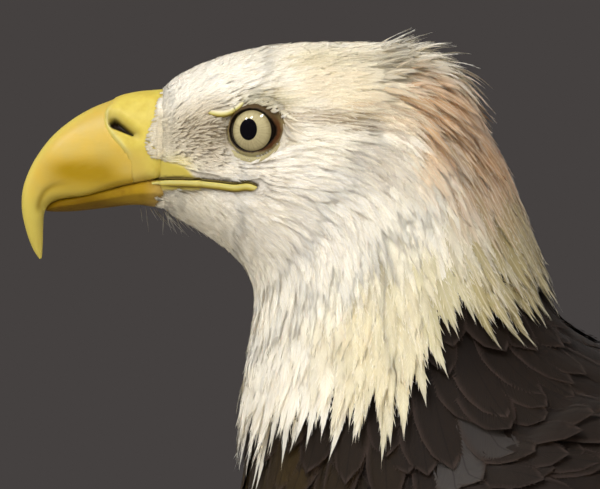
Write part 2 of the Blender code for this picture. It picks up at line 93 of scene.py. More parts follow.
# The lie of the plumage, front to back. Each line crosses the bird's side view from its dorsal
# to its ventral edge, as (forward, up) of both ends. The feathers run square to these lines.
# Then come the feathers' length at each end and how deep the skin lies under their surface.
Comb = namedtuple("Comb", "dorsal_forward dorsal_up ventral_forward ventral_up dorsal ventral depth")
BODY_COMB = (
    Comb(30.4, 12.0, 29.4, -24.2, 3.2, 3.5, 0.5),
    Comb(14.0, 22.3, 15.5, -32.2, 6.0, 6.5, 0.9),
    Comb(-12.0, 28.4, 4.8, -40.4, 10.0, 11.0, 1.4),
    Comb(-42.0, 28.8, 0.0, -47.6, 17.0, 17.0, 2.2),
    Comb(-68.6, 18.0, -0.8, -55.4, 25.0, 23.0, 2.8),
    Comb(-83.0, -12.0, 1.6, -70.5, 33.0, 30.0, 3.2),
    Comb(-93.5, -44.0, 2.8, -98.5, 38.0, 36.0, 3.6),
    Comb(-113.0, -68.0, 8.6, -148.0, 36.0, 36.0, 4.0),
    Comb(-160.0, -102.0, 5.0, -216.0, 40.0, 38.0, 4.5),
    Comb(-218.0, -172.0, -49.0, -290.0, 46.0, 42.0, 4.5),
    Comb(-263.0, -252.0, -133.0, -355.0, 52.0, 46.0, 4.5),
    Comb(-300.0, -329.0, -224.0, -410.0, 58.0, 52.0, 4.5),
    Comb(-343.0, -432.0, -322.0, -455.0, 60.0, 56.0, 4.0),
)
# Places on the body's comb, in its lines: the end of the white head and the tail's coverts.
WHITE_END = 5.28
TAIL_COVERTS = 10.7
THIGH_COMB = (
    Comb(-196.0, -296.0, -80.0, -286.0, 34.0, 34.0, 3.5),
    Comb(-213.0, -376.0, -85.0, -354.0, 38.0, 36.0, 3.5),
    Comb(-206.0, -448.0, -117.0, -421.0, 34.0, 32.0, 3.0),
    Comb(-187.0, -512.0, -145.0, -496.0, 20.0, 18.0, 2.0),
)

# A cross-section of the folded wing: its dorsal and ventral edges as (forward, up, sideways),
# and how far it bulges outward.
WING = (
    (-68, -108, 60, -46, -126, 67, 8),
    (-86, -94, 54, -25, -150, 75, 24),
    (-114, -84, 42, -18, -180, 83, 38),
    (-148, -94, 31, -28, -214, 89, 49),
    (-184, -124, 24, -56, -252, 92, 56),
    (-218, -164, 19, -94, -290, 93, 58),
    (-247, -207, 15, -136, -324, 89, 55),
    (-271, -250, 12, -180, -356, 83, 49),
    (-292, -290, 9, -224, -386, 76, 41),
    (-312, -330, 7, -266, -412, 70, 32),
    (-332, -368, 6, -302, -432, 64, 23),
    (-352, -406, 7, -336, -454, 58, 16),
    (-374, -442, 9, -364, -474, 52, 11),
    (-394, -478, 14, -388, -498, 44, 7),
    (-410, -508, 20, -407, -517, 35, 4),
    (-420, -527, 25, -419.4, -528, 27, 1.0),
)
WING_LENGTHS = (20.0, 26.0, 34.0, 48.0, 58.0, 66.0)

# Bill cross-sections: dorsal (forward, up), ventral (forward, up), half the width, how square
# the upper and the lower half are, and how far down the widest line lies.
UPPER_BILL = (
    (27.0, 12.6, 26.0, -15.0, 14.2, 2.2, 3.6, -0.30),
    (30.9, 12.3, 29.9, -15.8, 15.2, 2.3, 3.8, -0.30),
    (39.8, 11.5, 37.3, -17.3, 13.9, 2.3, 4.0, -0.30),
    (44.2, 10.0, 42.0, -18.3, 13.0, 2.3, 4.0, -0.28),
    (50.7, 7.4, 47.4, -19.9, 11.7, 2.2, 4.0, -0.26),
    (57.2, 3.6, 52.8, -21.4, 10.2, 2.2, 3.8, -0.24),
    (63.6, -1.8, 58.4, -21.9, 8.7, 2.2, 3.4, -0.20),
    (68.6, -8.4, 62.8, -22.8, 7.3, 2.1, 2.8, -0.14),
    (71.6, -14.4, 65.0, -24.4, 6.0, 2.1, 2.4, -0.08),
    (73.1, -19.9, 66.1, -26.8, 4.9, 2.0, 2.2, 0.0),
    (73.1, -26.0, 66.4, -31.2, 3.9, 2.0, 2.0, 0.0),
    (71.6, -32.6, 66.5, -35.7, 2.7, 2.0, 2.0, 0.0),
    (69.6, -37.8, 66.7, -39.0, 1.4, 2.0, 2.0, 0.0),
    (67.6, -40.9, 66.9, -40.7, 0.4, 2.0, 2.0, 0.0),
)
LOWER_BILL = (
    (26.0, -14.4, 25.5, -24.0, 11.6, 3.4, 2.2, 0.25),
    (29.9, -15.0, 29.9, -24.3, 12.6, 3.8, 2.2, 0.25),
    (37.4, -16.5, 37.3, -23.6, 11.6, 3.8, 2.2, 0.25),
    (47.4, -19.0, 46.6, -24.6, 9.8, 3.6, 2.1, 0.20),
    (56.0, -20.8, 55.8, -25.6, 7.6, 3.2, 2.0, 0.10),
    (61.6, -21.6, 62.0, -25.8, 5.4, 2.6, 2.0, 0.0),
    (65.2, -23.4, 65.4, -25.6, 1.6, 2.0, 2.0, 0.0),
)

# Lines on the side of the head, as (forward, up).
CERE_EDGE = ((43.6, 13.0), (44.4, 9.9), (46.4, 6.0), (46.3, 2.4), (44.3, -1.6), (41.4, -5.0),
             (38.6, -8.6), (37.4, -12.0), (37.6, -18.0))
NOSTRIL = ((43.6, 2.2), (37.6, -1.4))
HOOK_GROOVE = ((67.8, -27.0), (67.4, -23.0), (65.4, -19.2), (61.4, -17.2), (55.0, -16.8))
GOLD_STREAK = ((40.0, -14.6), (47.0, -14.0), (54.0, -13.2), (66.0, -11.5))
TOMIUM = ((66.6, -27.5), (65.3, -24.0), (62.9, -22.4), (59.8, -21.6), (55.2, -21.4), (52.1, -20.8),
          (48.2, -19.7), (44.3, -17.9), (40.5, -17.2), (36.6, -17.0), (32.8, -16.2))
MOUTH = ((32.8, -16.2), (26.7, -15.4), (17.4, -15.6), (10.1, -16.3), (4.6, -17.0), (0.8, -16.7),
         (-2.2, -17.6))
BROW = ((13.6, 6.0), (11.9, 5.3), (8.5, 4.9), (5.2, 6.0), (2.4, 8.1), (0.4, 9.7), (-1.8, 11.4))
FEATHER_EDGE = ((28.6, 13.6), (30.4, 8.4), (31.0, 4.4), (33.3, -0.6), (33.6, -6.2), (30.8, -8.6))
JAW_EDGE = ((23.0, -18.6), (26.5, -19.6), (29.2, -21.6), (31.0, -24.4))
# The upper edge of the bare strip of skin over the mouth line, back from the bill.
BARE_EDGE = ((34.1, -6.2), (30.4, -8.8), (26.0, -10.1), (20.9, -11.8), (18.2, -14.6), (16.0, -16.5))


def hex_colour(text):
    """An sRGB hex value as linear red, green, blue and alpha."""
    parts = [int(text[i:i + 2], 16) / 255 for i in (1, 3, 5)]
    return [c / 12.92 if c <= 0.04045 else ((c + 0.055) / 1.055) ** 2.4 for c in parts] + [1.0]


def place(forward, up, sideways=0.0):
    """World point from millimetres forward of, above and beside the centre of the eye."""
    return Vector((sideways * MM, EYE_BACK - forward * MM, EYE_HEIGHT + up * MM))


def place_all(forward, up, sideways):
    """World points from arrays of millimetres forward, up and sideways."""
    return np.stack([sideways * MM, EYE_BACK - forward * MM, EYE_HEIGHT + up * MM], axis=-1)


def side_view(points):
    """Millimetres forward, up and sideways of world points."""
    return (EYE_BACK - points[..., 1]) / MM, (points[..., 2] - EYE_HEIGHT) / MM, points[..., 0] / MM


def unit(vectors):
    return vectors / np.maximum(np.linalg.norm(vectors, axis=-1, keepdims=True), 1e-9)


def step(value, low, high):
    """A smooth step from 0 at low to 1 at high."""
    share = np.clip((value - low) / (high - low), 0.0, 1.0)
    return share * share * (3 - 2 * share)


def read(rows, where):
    """The table's numbers at fractional places, on a smooth curve through its rows."""
    rows = np.asarray(rows, float)
    where = np.clip(np.asarray(where, float), 0, len(rows) - 1)
    low = np.minimum(where.astype(int), len(rows) - 2)
    t = (where - low)[..., None]
    a, b, c, d = (rows[np.clip(low + move, 0, len(rows) - 1)] for move in (-1, 0, 1, 2))
    return 0.5 * (2 * b + (c - a) * t + (2 * a - 5 * b + 4 * c - d) * t**2
                  + (3 * b - a - 3 * c + d) * t**3)


def path_distance(forward, up, path):
    """Distance in millimetres to a side-view path, and how far along it, from 0 to 1."""
    path = read(path, np.linspace(0, len(path) - 1, 8 * len(path)))
    best = np.full(forward.shape, 1e9)
    along = np.zeros(forward.shape)
    for i, (start, end) in enumerate(zip(path, path[1:])):
        run = end - start
        share = ((forward - start[0]) * run[0] + (up - start[1]) * run[1]) / run.dot(run)
        share = np.clip(share, 0, 1)
        gap = np.hypot(forward - start[0] - share * run[0], up - start[1] - share * run[1])
        closer = gap < best
        best = np.where(closer, gap, best)
        along = np.where(closer, (i + share) / (len(path) - 1), along)
    return best, along


def white_edge(down):
    """Where on the comb the white plumage ends: lowest at the sides of the breast."""
    return WHITE_END + 0.30 * np.exp(-((down - 0.6) / 0.22) ** 2) - 0.12 * step(down, 0.85, 1.0)


def bare_depth(forward, up, sideways):
    """How far inside the bare strip over the mouth line a point lies, in millimetres."""
    # Its lower edge is level, and -9 stands for a point well outside it.
    line = np.array(BARE_EDGE)[::-1]
    top = np.interp(forward, line[:, 0], line[:, 1])
    inside = np.minimum(top - up, up + 19.0)
    return np.where((np.abs(sideways) > 5) & (forward > BARE_EDGE[-1][0]), inside, -9.0)


def deselect():
    for chosen in list(bpy.context.selected_objects):
        chosen.select_set(False)


def choose(*pieces):
    """Selects just these pieces and makes the first one active."""
    deselect()
    for piece in pieces:
        piece.select_set(True)
    bpy.context.view_layer.objects.active = pieces[0]


def apply_modifier(piece, kind, **settings):
    choose(piece)
    modifier = piece.modifiers.new(kind, kind)
    for name, value in settings.items():
        setattr(modifier, name, value)
    bpy.ops.object.modifier_apply(modifier=modifier.name)


def points_of(piece):
    points = np.empty(len(piece.data.vertices) * 3)
    piece.data.vertices.foreach_get("co", points)
    return points.reshape(-1, 3)


def normals_of(piece):
    normals = np.empty(len(piece.data.vertices) * 3)
    piece.data.vertex_normals.foreach_get("vector", normals)
    return normals.reshape(-1, 3)


def set_points(piece, points):
    piece.data.vertices.foreach_set("co", np.ascontiguousarray(points, float).ravel())
    piece.data.update()


def store(piece, **masks):
    """Stores each mask's number for every point of the piece, for its material to read."""
    for name, values in masks.items():
        layer = piece.data.attributes.new(name, "FLOAT", "POINT")
        values = np.broadcast_to(np.asarray(values, np.float32), len(piece.data.vertices))
        layer.data.foreach_set("value", np.ascontiguousarray(values))


def store_roots(piece, side, times=1):
    """Stores the side-view place that each point's markings are read at."""
    spots = np.stack([side[0], side[1], np.abs(side[2])], axis=1).astype(np.float32)
    layer = piece.data.attributes.new("root", "FLOAT_VECTOR", "POINT")
    layer.data.foreach_set("vector", np.repeat(spots, times, axis=0).ravel())


def tree_over(pieces):
    """One search tree over the surfaces of several pieces."""
    points, faces = [], []
    for piece in pieces:
        base = len(points)
        points += [vertex.co for vertex in piece.data.vertices]
        faces += [tuple(base + i for i in face.vertices) for face in piece.data.polygons]
    return BVHTree.FromPolygons(points, faces)


def tree_named(*names):
    """A search tree over pieces that scene.py has made, by name."""
    return tree_over(bpy.data.objects[name] for name in names)


def ringed(name, rings):
    """A closed piece, extruded ring by ring from a circle and filled at both ends."""
    deselect()
    bpy.ops.mesh.primitive_circle_add(vertices=len(rings[0]), fill_type="NGON", location=(0, 0, 0))
    piece = bpy.context.object
    piece.name = name
    piece.data.name = name
    bpy.ops.object.mode_set(mode="EDIT")
    form = bmesh.from_edit_mesh(piece.data)
    order = form.verts.layers.int.new("order")
    for index, vert in enumerate(form.verts):
        vert[order] = index
    for index, ring in enumerate(rings):
        if index:
            bpy.ops.mesh.extrude_region_move()
            form = bmesh.from_edit_mesh(piece.data)
            order = form.verts.layers.int["order"]
        for vert in [vert for vert in form.verts if vert.select]:
            vert.co = ring[vert[order]]
        bmesh.update_edit_mesh(piece.data)
    bpy.ops.mesh.select_all(action="SELECT")
    bpy.ops.mesh.normals_make_consistent(inside=False)
    bpy.ops.object.mode_set(mode="OBJECT")
    bpy.ops.object.shade_smooth()
    piece.data.attributes.remove(piece.data.attributes["order"])
    return piece


def dress(piece, mat, slot, *nodes):
    """Gives the piece its material and says what it rides on and which solids it stands for."""
    piece.data.materials.clear()
    piece.data.materials.append(mat)
    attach(piece, "root")
    if nodes:
        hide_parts(*nodes)


def add_node(tree, kind, inputs=None, out=0, **settings):
    """Adds a shader node, sets it up, links or sets its inputs, and returns one of its outputs."""
    made = tree.nodes.new("ShaderNode" + kind)
    for name, value in settings.items():
        setattr(made, name, value)
    for key, value in (inputs or {}).items():
        if isinstance(value, bpy.types.NodeSocket):
            tree.links.new(value, made.inputs[key])
        else:
            is_hex = isinstance(value, str) and value.startswith("#")
            made.inputs[key].default_value = hex_colour(value) if is_hex else value
    return made.outputs[out]


def new_material(name, roughness, **shader_values):
    """A material with its shader's constant values set. Returns it, its tree and its shader."""
    mat = bpy.data.materials.new(name)
    mat.use_nodes = True
    tree = mat.node_tree
    shader = tree.nodes["Principled BSDF"]
    shader.inputs["Roughness"].default_value = roughness
    shader.inputs["Subsurface Radius"].default_value = (1.0, 0.7, 0.3)
    for key, value in shader_values.items():
        shader.inputs[key.replace("_", " ")].default_value = value
    return mat, tree, shader


# Materials ------------------------------------------------------------------------------------


def horn_material():
    """Keratin horn, laid down in thin layers and worn smooth: waxy, deeper in colour where thick, with
    a painted highlight on its ridge and painted shade in its groove and low on its side.
    """
    mat, tree, shader = new_material(
        "keratin_horn", 0.4, IOR=1.54, Subsurface_Weight=0.12, Subsurface_Scale=0.0015,
        Coat_Weight=0.12, Coat_Roughness=0.3)
    spot = add_node(tree, "TexCoord", out="Object")
    cloud = add_node(tree, "TexNoise", {"Vector": spot, "Scale": 160.0, "Detail": 3.0})
    uneven = add_node(tree, "MapRange", {"Value": cloud, "From Min": 0.35, "From Max": 0.65})
    colour = add_node(tree, "Mix", {FACTOR: uneven, FIRST: (*bpy.context.scene.eagle_bill.horn, 1),
                      SECOND: "#C9AC52"}, **MIX)
    # The ridge's pale is a painted highlight, the groove's dark is painted shade, and the band is a
    # deeper gold darkened further by painted shade.
    for name, paint in (("lip", "#B4920E"), ("band", "#A48200"), ("ridge", "#D8C45E"),
                        ("hook", "#CCB852"), ("groove", "#937814")):
        mask = add_node(tree, "Attribute", out="Fac", attribute_name=name)
        colour = add_node(tree, "Mix", {FACTOR: mask, FIRST: colour, SECOND: paint}, **MIX)
    # Growth lines about 0.6 mm apart, drawn out along the bill.
    long_way = add_node(tree, "Mapping", {"Vector": spot, "Scale": (900.0, 120.0, 700.0)})
    grain = add_node(tree, "TexNoise", {"Vector": long_way, "Scale": 1.0, "Detail": 4.0})
    rough = add_node(tree, "MapRange", {"Value": grain, "To Min": 0.32, "To Max": 0.5})
    relief = add_node(tree, "Bump", {"Height": grain, "Distance": 0.0002, "Strength": 0.25})
    tree.links.new(colour, shader.inputs["Base Color"])
    tree.links.new(rough, shader.inputs["Roughness"])
    tree.links.new(relief, shader.inputs["Normal"])
    return mat


def bare_skin_material():
    """Bare waxy skin of the cere, brow and gape: smooth and full, with fine creases, and painted shade
    in its hollows and under its folds.
    """
    mat, tree, shader = new_material(
        "waxy_bare_skin", 0.45, IOR=1.45, Subsurface_Weight=0.2, Subsurface_Scale=0.002,
        Coat_Weight=0.08, Coat_Roughness=0.35)
    spot = add_node(tree, "TexCoord", out="Object")
    cloud = add_node(tree, "TexNoise", {"Vector": spot, "Scale": 320.0, "Detail": 4.0})
    uneven = add_node(tree, "MapRange", {"Value": cloud, "From Min": 0.3, "From Max": 0.7})
    colour = add_node(tree, "Mix", {FACTOR: uneven, FIRST: (*bpy.context.scene.eagle_bill.cere, 1),
                      SECOND: "#CDB64C"}, **MIX)
    # under is painted shade below the nostril, the lips and the brows; hollow is painted shade in the
    # nostril's slit and along the mouth line.
    for name, paint in (("horny", "#C9AE52"), ("pale", "#CFC682"), ("cream", "#E4DABC"),
                        ("under", "#6E5A16"), ("hollow", "#1C1004")):
        mask = add_node(tree, "Attribute", out="Fac", attribute_name=name)
        colour = add_node(tree, "Mix", {FACTOR: mask, FIRST: colour, SECOND: paint}, **MIX)
    fine = add_node(tree, "TexNoise", {"Vector": spot, "Scale": 1800.0, "Detail": 2.0})
    relief = add_node(tree, "Bump", {"Height": fine, "Distance": 0.0001, "Strength": 0.35})
    tree.links.new(colour, shader.inputs["Base Color"])
    tree.links.new(relief, shader.inputs["Normal"])
    return mat


def lower_bill_material():
    """The same horn where it is thin and shaded: brown in front, yellower towards the cheek."""
    mat, tree, shader = new_material(
        "keratin_horn_lower", 0.6, IOR=1.3, Subsurface_Weight=0.08, Subsurface_Scale=0.0012)
    spot = add_node(tree, "TexCoord", out="Object")
    colour = "#6E5200"
    for name, paint in (("back", "#A6841C"), ("low", "#7A5C06"), ("root", "#BA9A50")):
        mask = add_node(tree, "Attribute", out="Fac", attribute_name=name)
        colour = add_node(tree, "Mix", {FACTOR: mask, FIRST: colour, SECOND: paint}, **MIX)
    cloud = add_node(tree, "TexNoise", {"Vector": spot, "Scale": 260.0, "Detail": 4.0})
    mottle = add_node(tree, "MapRange", {"Value": cloud, "From Min": 0.45, "From Max": 0.75,
                      "To Max": 0.5})
    colour = add_node(tree, "Mix", {FACTOR: mottle, FIRST: colour, SECOND: "#6E4A0A"}, **MIX)
    relief = add_node(tree, "Bump", {"Height": cloud, "Distance": 0.0002, "Strength": 0.2})
    tree.links.new(colour, shader.inputs["Base Color"])
    tree.links.new(relief, shader.inputs["Normal"])
    return mat


def lid_material():
    """Thin eyelid skin: nearly black at the wet margin, brown, then straw where it meets down, and
    painted darker over the upper lid as the brow's shade.
    """
    mat, tree, shader = new_material("eyelid_skin", 0.5, IOR=1.4)
    spot = add_node(tree, "TexCoord", out="Object")
    away, below, rear, above = (add_node(tree, "Attribute", out="Fac", attribute_name=name)
                                for name in ("away", "below", "rear", "above"))
    wander = add_node(tree, "TexNoise", {"Vector": spot, "Scale": 900.0, "Detail": 3.0})
    shifted = add_node(tree, "Math", {0: wander, 1: 0.9}, operation="MULTIPLY")
    reach = add_node(tree, "Math", {0: away, 1: shifted}, operation="ADD")
    paler = add_node(tree, "MapRange", {"Value": rear, "To Min": 0.75, "To Max": -0.25})
    tanned = add_node(tree, "Math", {0: reach, 1: paler}, operation="ADD")
    brown = add_node(tree, "MapRange", {"Value": tanned, "From Min": 1.2, "From Max": 2.1})
    margin = add_node(tree, "MapRange", {"Value": reach, "From Min": 0.55, "From Max": 1.1})
    outer = add_node(tree, "Mix", {FACTOR: below, FIRST: "#8C7A50", SECOND: "#AFA478"}, **MIX)
    inner = add_node(tree, "Mix", {FACTOR: brown, FIRST: "#5A3517", SECOND: outer}, **MIX)
    # Painted shade: darker over the upper lid, under the brow.
    inner = add_node(tree, "Mix", {FACTOR: above, FIRST: inner, SECOND: "#4E3C22"}, **MIX)
    colour = add_node(tree, "Mix", {FACTOR: margin, FIRST: "#150D05", SECOND: inner}, **MIX)
    relief = add_node(tree, "Bump", {"Height": wander, "Distance": 0.0002, "Strength": 0.4})
    tree.links.new(colour, shader.inputs["Base Color"])
    tree.links.new(relief, shader.inputs["Normal"])
    return mat


def eye_material():
    """A wet cornea over a straw iris of radiating fibres, with a round black pupil."""
    mat, tree, shader = new_material("wet_eye", 0.12, IOR=1.376, Coat_Weight=1.0,
                                     Coat_Roughness=0.02, Coat_IOR=1.376)
    disc = add_node(tree, "UVMap", uv_map="iris")
    radius = add_node(tree, "VectorMath", {0: disc}, out="Value", operation="LENGTH")
    # The pupil stands a little taller than wide and a little ahead of the middle.
    moved = add_node(tree, "VectorMath", {0: disc, 1: (0.35, 0.5, 0.0)}, operation="SUBTRACT")
    moved = add_node(tree, "VectorMath", {0: moved, 1: (3.0, 3.45, 1.0)}, operation="DIVIDE")
    pupil = add_node(tree, "VectorMath", {0: moved}, out="Value", operation="LENGTH")
    split = add_node(tree, "VectorMath", {0: disc}, operation="NORMALIZE")
    fibre = add_node(tree, "TexNoise", {"Vector": split, "Scale": 9.0, "Detail": 5.0})
    fleck = add_node(tree, "TexNoise", {"Vector": disc, "Scale": 1.6, "Detail": 3.0})
    colour = (*bpy.context.scene.eagle_eye.iris, 1)
    # Fibres, flecks, the darker rim of the iris, its black border and the pupil, each with what
    # it reads, where that starts and is full, how strong it is, and its colour.
    for reading, low, high, most, paint, way in (
            (fibre, 0.4, 0.7, 0.6, "#9E9068", {}), (fleck, 0.55, 0.8, 0.45, "#857650", {}),
            (radius, 5.1, 6.4, 0.55, "#6E6038", SMOOTH), (radius, 6.3, 6.6, 1.0, "#120B04", SMOOTH),
            (pupil, 1.04, 0.96, 1.0, "#06050A", SMOOTH)):
        amount = add_node(tree, "MapRange", {"Value": reading, "From Min": low, "From Max": high,
                          "To Max": most}, **way)
        colour = add_node(tree, "Mix", {FACTOR: amount, FIRST: colour, SECOND: paint}, **MIX)
    tree.links.new(colour, shader.inputs["Base Color"])
    return mat


# Tints of the white plumage, its markings and some painted shade: the middle of each as (forward,
# up, sideways), its reach in each of the three, its colour, and how strong it is.
Mark = namedtuple("Mark", "middle reach paint strength")
WHITE_MARKS_AND_SHADE = (
    Mark((22.0, 16.0, 6.0), (26.0, 13.0, 40.0), "#EEEAE2", 0.9),
    Mark((14.5, -2.0, 22.0), (13.5, 11.5, 30.0), "#A28F70", 0.85),
    # Painted shade: olive under the brow, above the eye.
    Mark((-3.0, 9.0, 30.0), (9.0, 3.5, 20.0), "#A89C6A", 0.6),
    Mark((-25.0, 4.0, 36.0), (6.0, 2.2, 16.0), "#6A573C", 0.6),
    Mark((27.0, -11.0, 20.0), (9.0, 4.5, 30.0), "#D8C66A", 0.8),
    Mark((-20.0, 4.5, 36.0), (14.0, 4.0, 20.0), "#8E7654", 0.7),
    Mark((-29.0, -6.0, 36.0), (13.0, 7.0, 20.0), "#C6B9A8", 0.6),
    Mark((-15.0, 21.0, 20.0), (8.0, 4.5, 40.0), "#CFC498", 0.6),
    Mark((-27.0, 22.5, 18.0), (5.0, 1.4, 12.0), "#6E6440", 0.7),
    Mark((-42.0, 19.5, 22.0), (10.0, 5.5, 18.0), "#8F8468", 0.7),
    Mark((-24.0, 20.0, 24.0), (18.0, 7.0, 30.0), "#C9BB98", 0.5),
    Mark((30.5, -2.0, 18.0), (6.5, 10.0, 20.0), "#BFB296", 0.8),
    Mark((-33.0, 11.0, 30.0), (18.0, 7.0, 30.0), "#DDD2AC", 0.6),
    Mark((-20.0, 13.0, 30.0), (15.0, 7.0, 30.0), "#DCCBAA", 0.6),
    Mark((-48.0, -48.0, 20.0), (30.0, 30.0, 60.0), "#D2C494", 0.7),
    Mark((-60.0, -36.0, 20.0), (17.0, 14.0, 60.0), "#CFC79C", 0.5),
    # Painted shade: olive at the lower back edge of the nape.
    Mark((-78.0, -32.0, 20.0), (22.0, 26.0, 60.0), "#A08E54", 0.8),
    Mark((-56.0, 8.0, 20.0), (26.0, 12.0, 60.0), "#C8935A", 0.8),
    Mark((-70.0, -4.0, 20.0), (17.0, 13.0, 60.0), "#A87A42", 0.7),
    # Painted shade: olive at the back of the nape.
    Mark((-80.0, -14.0, 20.0), (14.0, 16.0, 60.0), "#A89868", 0.7),
    Mark((-46.0, 0.0, 20.0), (9.0, 9.0, 30.0), "#E6C8A0", 0.75),
    Mark((-6.0, -20.0, 30.0), (26.0, 20.0, 40.0), "#EAE4DC", 0.6),
)
# Tints of the brown plumage: the olive breast, partly its colour and partly painted light, the dark
# fore edge of the wing, its grey wrist.
BROWN_MARKS_AND_LIGHT = (
    # The breast is painted lighter olive, partly its own colour and partly painted light where it
    # faces the lamps.
    Mark((12.0, -185.0, 20.0), (66.0, 130.0, 95.0), "#403214", 0.85),
    Mark((-60.0, -150.0, 70.0), (60.0, 50.0, 40.0), "#2A2422", 0.5),
    Mark((-61.0, -84.0, 62.0), (7.0, 13.0, 32.0), "#4E4A47", 0.65),
)


def plumage_markings(name, marks):
    """A node group that tints plumage by where each feather's root lies."""
    group = bpy.data.node_groups.new(name, "ShaderNodeTree")
    for title, kind, way in (("Place", "Vector", "INPUT"), ("Colour", "Color", "INPUT"),
                             ("Colour", "Color", "OUTPUT")):
        group.interface.new_socket(name=title, socket_type="NodeSocket" + kind, in_out=way)
    entry = group.nodes.new("NodeGroupInput")
    spot, colour = entry.outputs["Place"], entry.outputs["Colour"]
    wander = add_node(group, "TexNoise", {"Vector": spot, "Scale": 0.09, "Detail": 3.0})
    for mark in marks:
        away = add_node(group, "VectorMath", {0: spot, 1: mark.middle}, operation="SUBTRACT")
        away = add_node(group, "VectorMath", {0: away, 1: mark.reach}, operation="DIVIDE")
        away = add_node(group, "VectorMath", {0: away}, out="Value", operation="LENGTH")
        away = add_node(group, "Math", {0: away, 1: wander}, operation="ADD")
        amount = add_node(group, "MapRange", {"Value": away, "From Min": 1.75, "From Max": 0.9,
                          "To Max": mark.strength}, **SMOOTH)
        colour = add_node(group, "Mix", {FACTOR: amount, FIRST: colour, SECOND: mark.paint}, **MIX)
    group.links.new(colour, group.nodes.new("NodeGroupOutput").inputs["Colour"])
    return group


def skin_material(markings):
    """Thin pimpled skin with down over it: pale under white plumage, dark under brown."""
    mat, tree, shader = new_material("downy_skin", 0.8, Sheen_Weight=0.15)
    where = add_node(tree, "Attribute", out="Vector", attribute_name="root")
    dark, seam, bare = (add_node(tree, "Attribute", out="Fac", attribute_name=name)
                        for name in ("dark", "seam", "bare"))
    fuzz = add_node(tree, "TexNoise", {"Vector": where, "Scale": 1.3, "Detail": 5.0})
    shade = add_node(tree, "MapRange", {"Value": fuzz, "From Min": 0.35, "From Max": 0.7,
                     "To Max": 0.45})
    # The white plumage's tints, some of them painted shade, tint the skin too.
    colour = add_node(tree, "Group", {"Place": where, "Colour": "#D9CFB8"}, "Colour",
                      node_tree=markings)
    # The mouth line's crease is painted dark as shade.
    for amount, paint in ((shade, "#A89878"), (dark, "#241A14"), (bare, "#C2AE4A"),
                          (seam, "#3A2A08")):
        colour = add_node(tree, "Mix", {FACTOR: amount, FIRST: colour, SECOND: paint}, **MIX)
    downy = add_node(tree, "MapRange", {"Value": bare, "To Min": 0.6, "To Max": 0.08})
    relief = add_node(tree, "Bump", {"Height": fuzz, "Distance": 0.0006, "Strength": downy})
    tree.links.new(colour, shader.inputs["Base Color"])
    tree.links.new(relief, shader.inputs["Normal"])
    return mat


def feather_material(name, markings, sheen, tip, root, edge, quill):
    """Keratin vanes of fine barbs about 0.4 mm apart: matt, soft, paler or darker to the tip.

    Drawn barbs slant forward from the quill on both sides; each feather has its own tone.
    """
    mat, tree, shader = new_material(
        name, 0.72, Sheen_Weight=sheen, Sheen_Roughness=0.4, Specular_IOR_Level=0.3,
        Subsurface_Weight=0.65, Subsurface_Scale=0.0045)
    # Light passes from feather to feather, which softens the shade between them.
    shader.subsurface_method = "BURLEY"
    shader.inputs["Subsurface Radius"].default_value = (1.0, 0.9, 0.75)
    tone, share, rim = (add_node(tree, "Attribute", out="Fac", attribute_name=mask)
                        for mask in ("tone", "share", "edge"))
    vane = add_node(tree, "UVMap", uv_map=VANE_MAP)
    across, along = (add_node(tree, "SeparateXYZ", {0: vane}, out=axis) for axis in "XY")
    off = add_node(tree, "Math", {0: across}, operation="ABSOLUTE")
    slant = add_node(tree, "Math", {0: off, 1: -1.7}, operation="MULTIPLY")
    barb = add_node(tree, "Math", {0: along, 1: slant}, operation="ADD")
    lane = add_node(tree, "Math", {0: tone, 1: 900.0}, operation="MULTIPLY")
    place_on = add_node(tree, "CombineXYZ", {"X": barb, "Y": lane, "Z": across})
    stretched = add_node(tree, "Mapping", {"Vector": place_on, "Scale": (2.2, 1.0, 0.35)})
    barbs = add_node(tree, "TexNoise", {"Vector": stretched, "Scale": 1.0, "Detail": 2.0})
    rise = add_node(tree, "MapRange", {"Value": share, "From Min": 0.1, "From Max": 0.75}, **SMOOTH)
    colour = add_node(tree, "Mix", {FACTOR: rise, FIRST: root, SECOND: tip}, **MIX)
    # Tints read at the root: markings, with some painted shade on the white plumage and painted light
    # on the breast.
    if markings:
        where = add_node(tree, "Attribute", out="Vector", attribute_name="root")
        colour = add_node(tree, "Group", {"Place": where, "Colour": colour}, "Colour",
                          node_tree=markings)
    outer = add_node(tree, "MapRange", {"Value": rim, "From Min": 0.66, "From Max": 1.0}, **SMOOTH)
    shaft = add_node(tree, "MapRange", {"Value": off, "From Min": 0.35, "From Max": 0.1,
                     "To Max": 0.5})
    for amount, paint in ((outer, edge), (shaft, quill)):
        colour = add_node(tree, "Mix", {FACTOR: amount, FIRST: colour, SECOND: paint}, **MIX)
    fine = add_node(tree, "MapRange", {"Value": barbs, "From Min": 0.3, "From Max": 0.7,
                    "To Min": 0.90, "To Max": 1.05})
    each = add_node(tree, "MapRange", {"Value": tone, "To Min": 0.90, "To Max": 1.04})
    light = add_node(tree, "Math", {0: fine, 1: each}, operation="MULTIPLY")
    colour = add_node(tree, "VectorMath", {0: colour, "Scale": light}, operation="SCALE")
    relief = add_node(tree, "Bump", {"Height": barbs, "Distance": 0.0003, "Strength": 0.3})
    tree.links.new(colour, shader.inputs["Base Color"])
    tree.links.new(relief, shader.inputs["Normal"])
    return mat


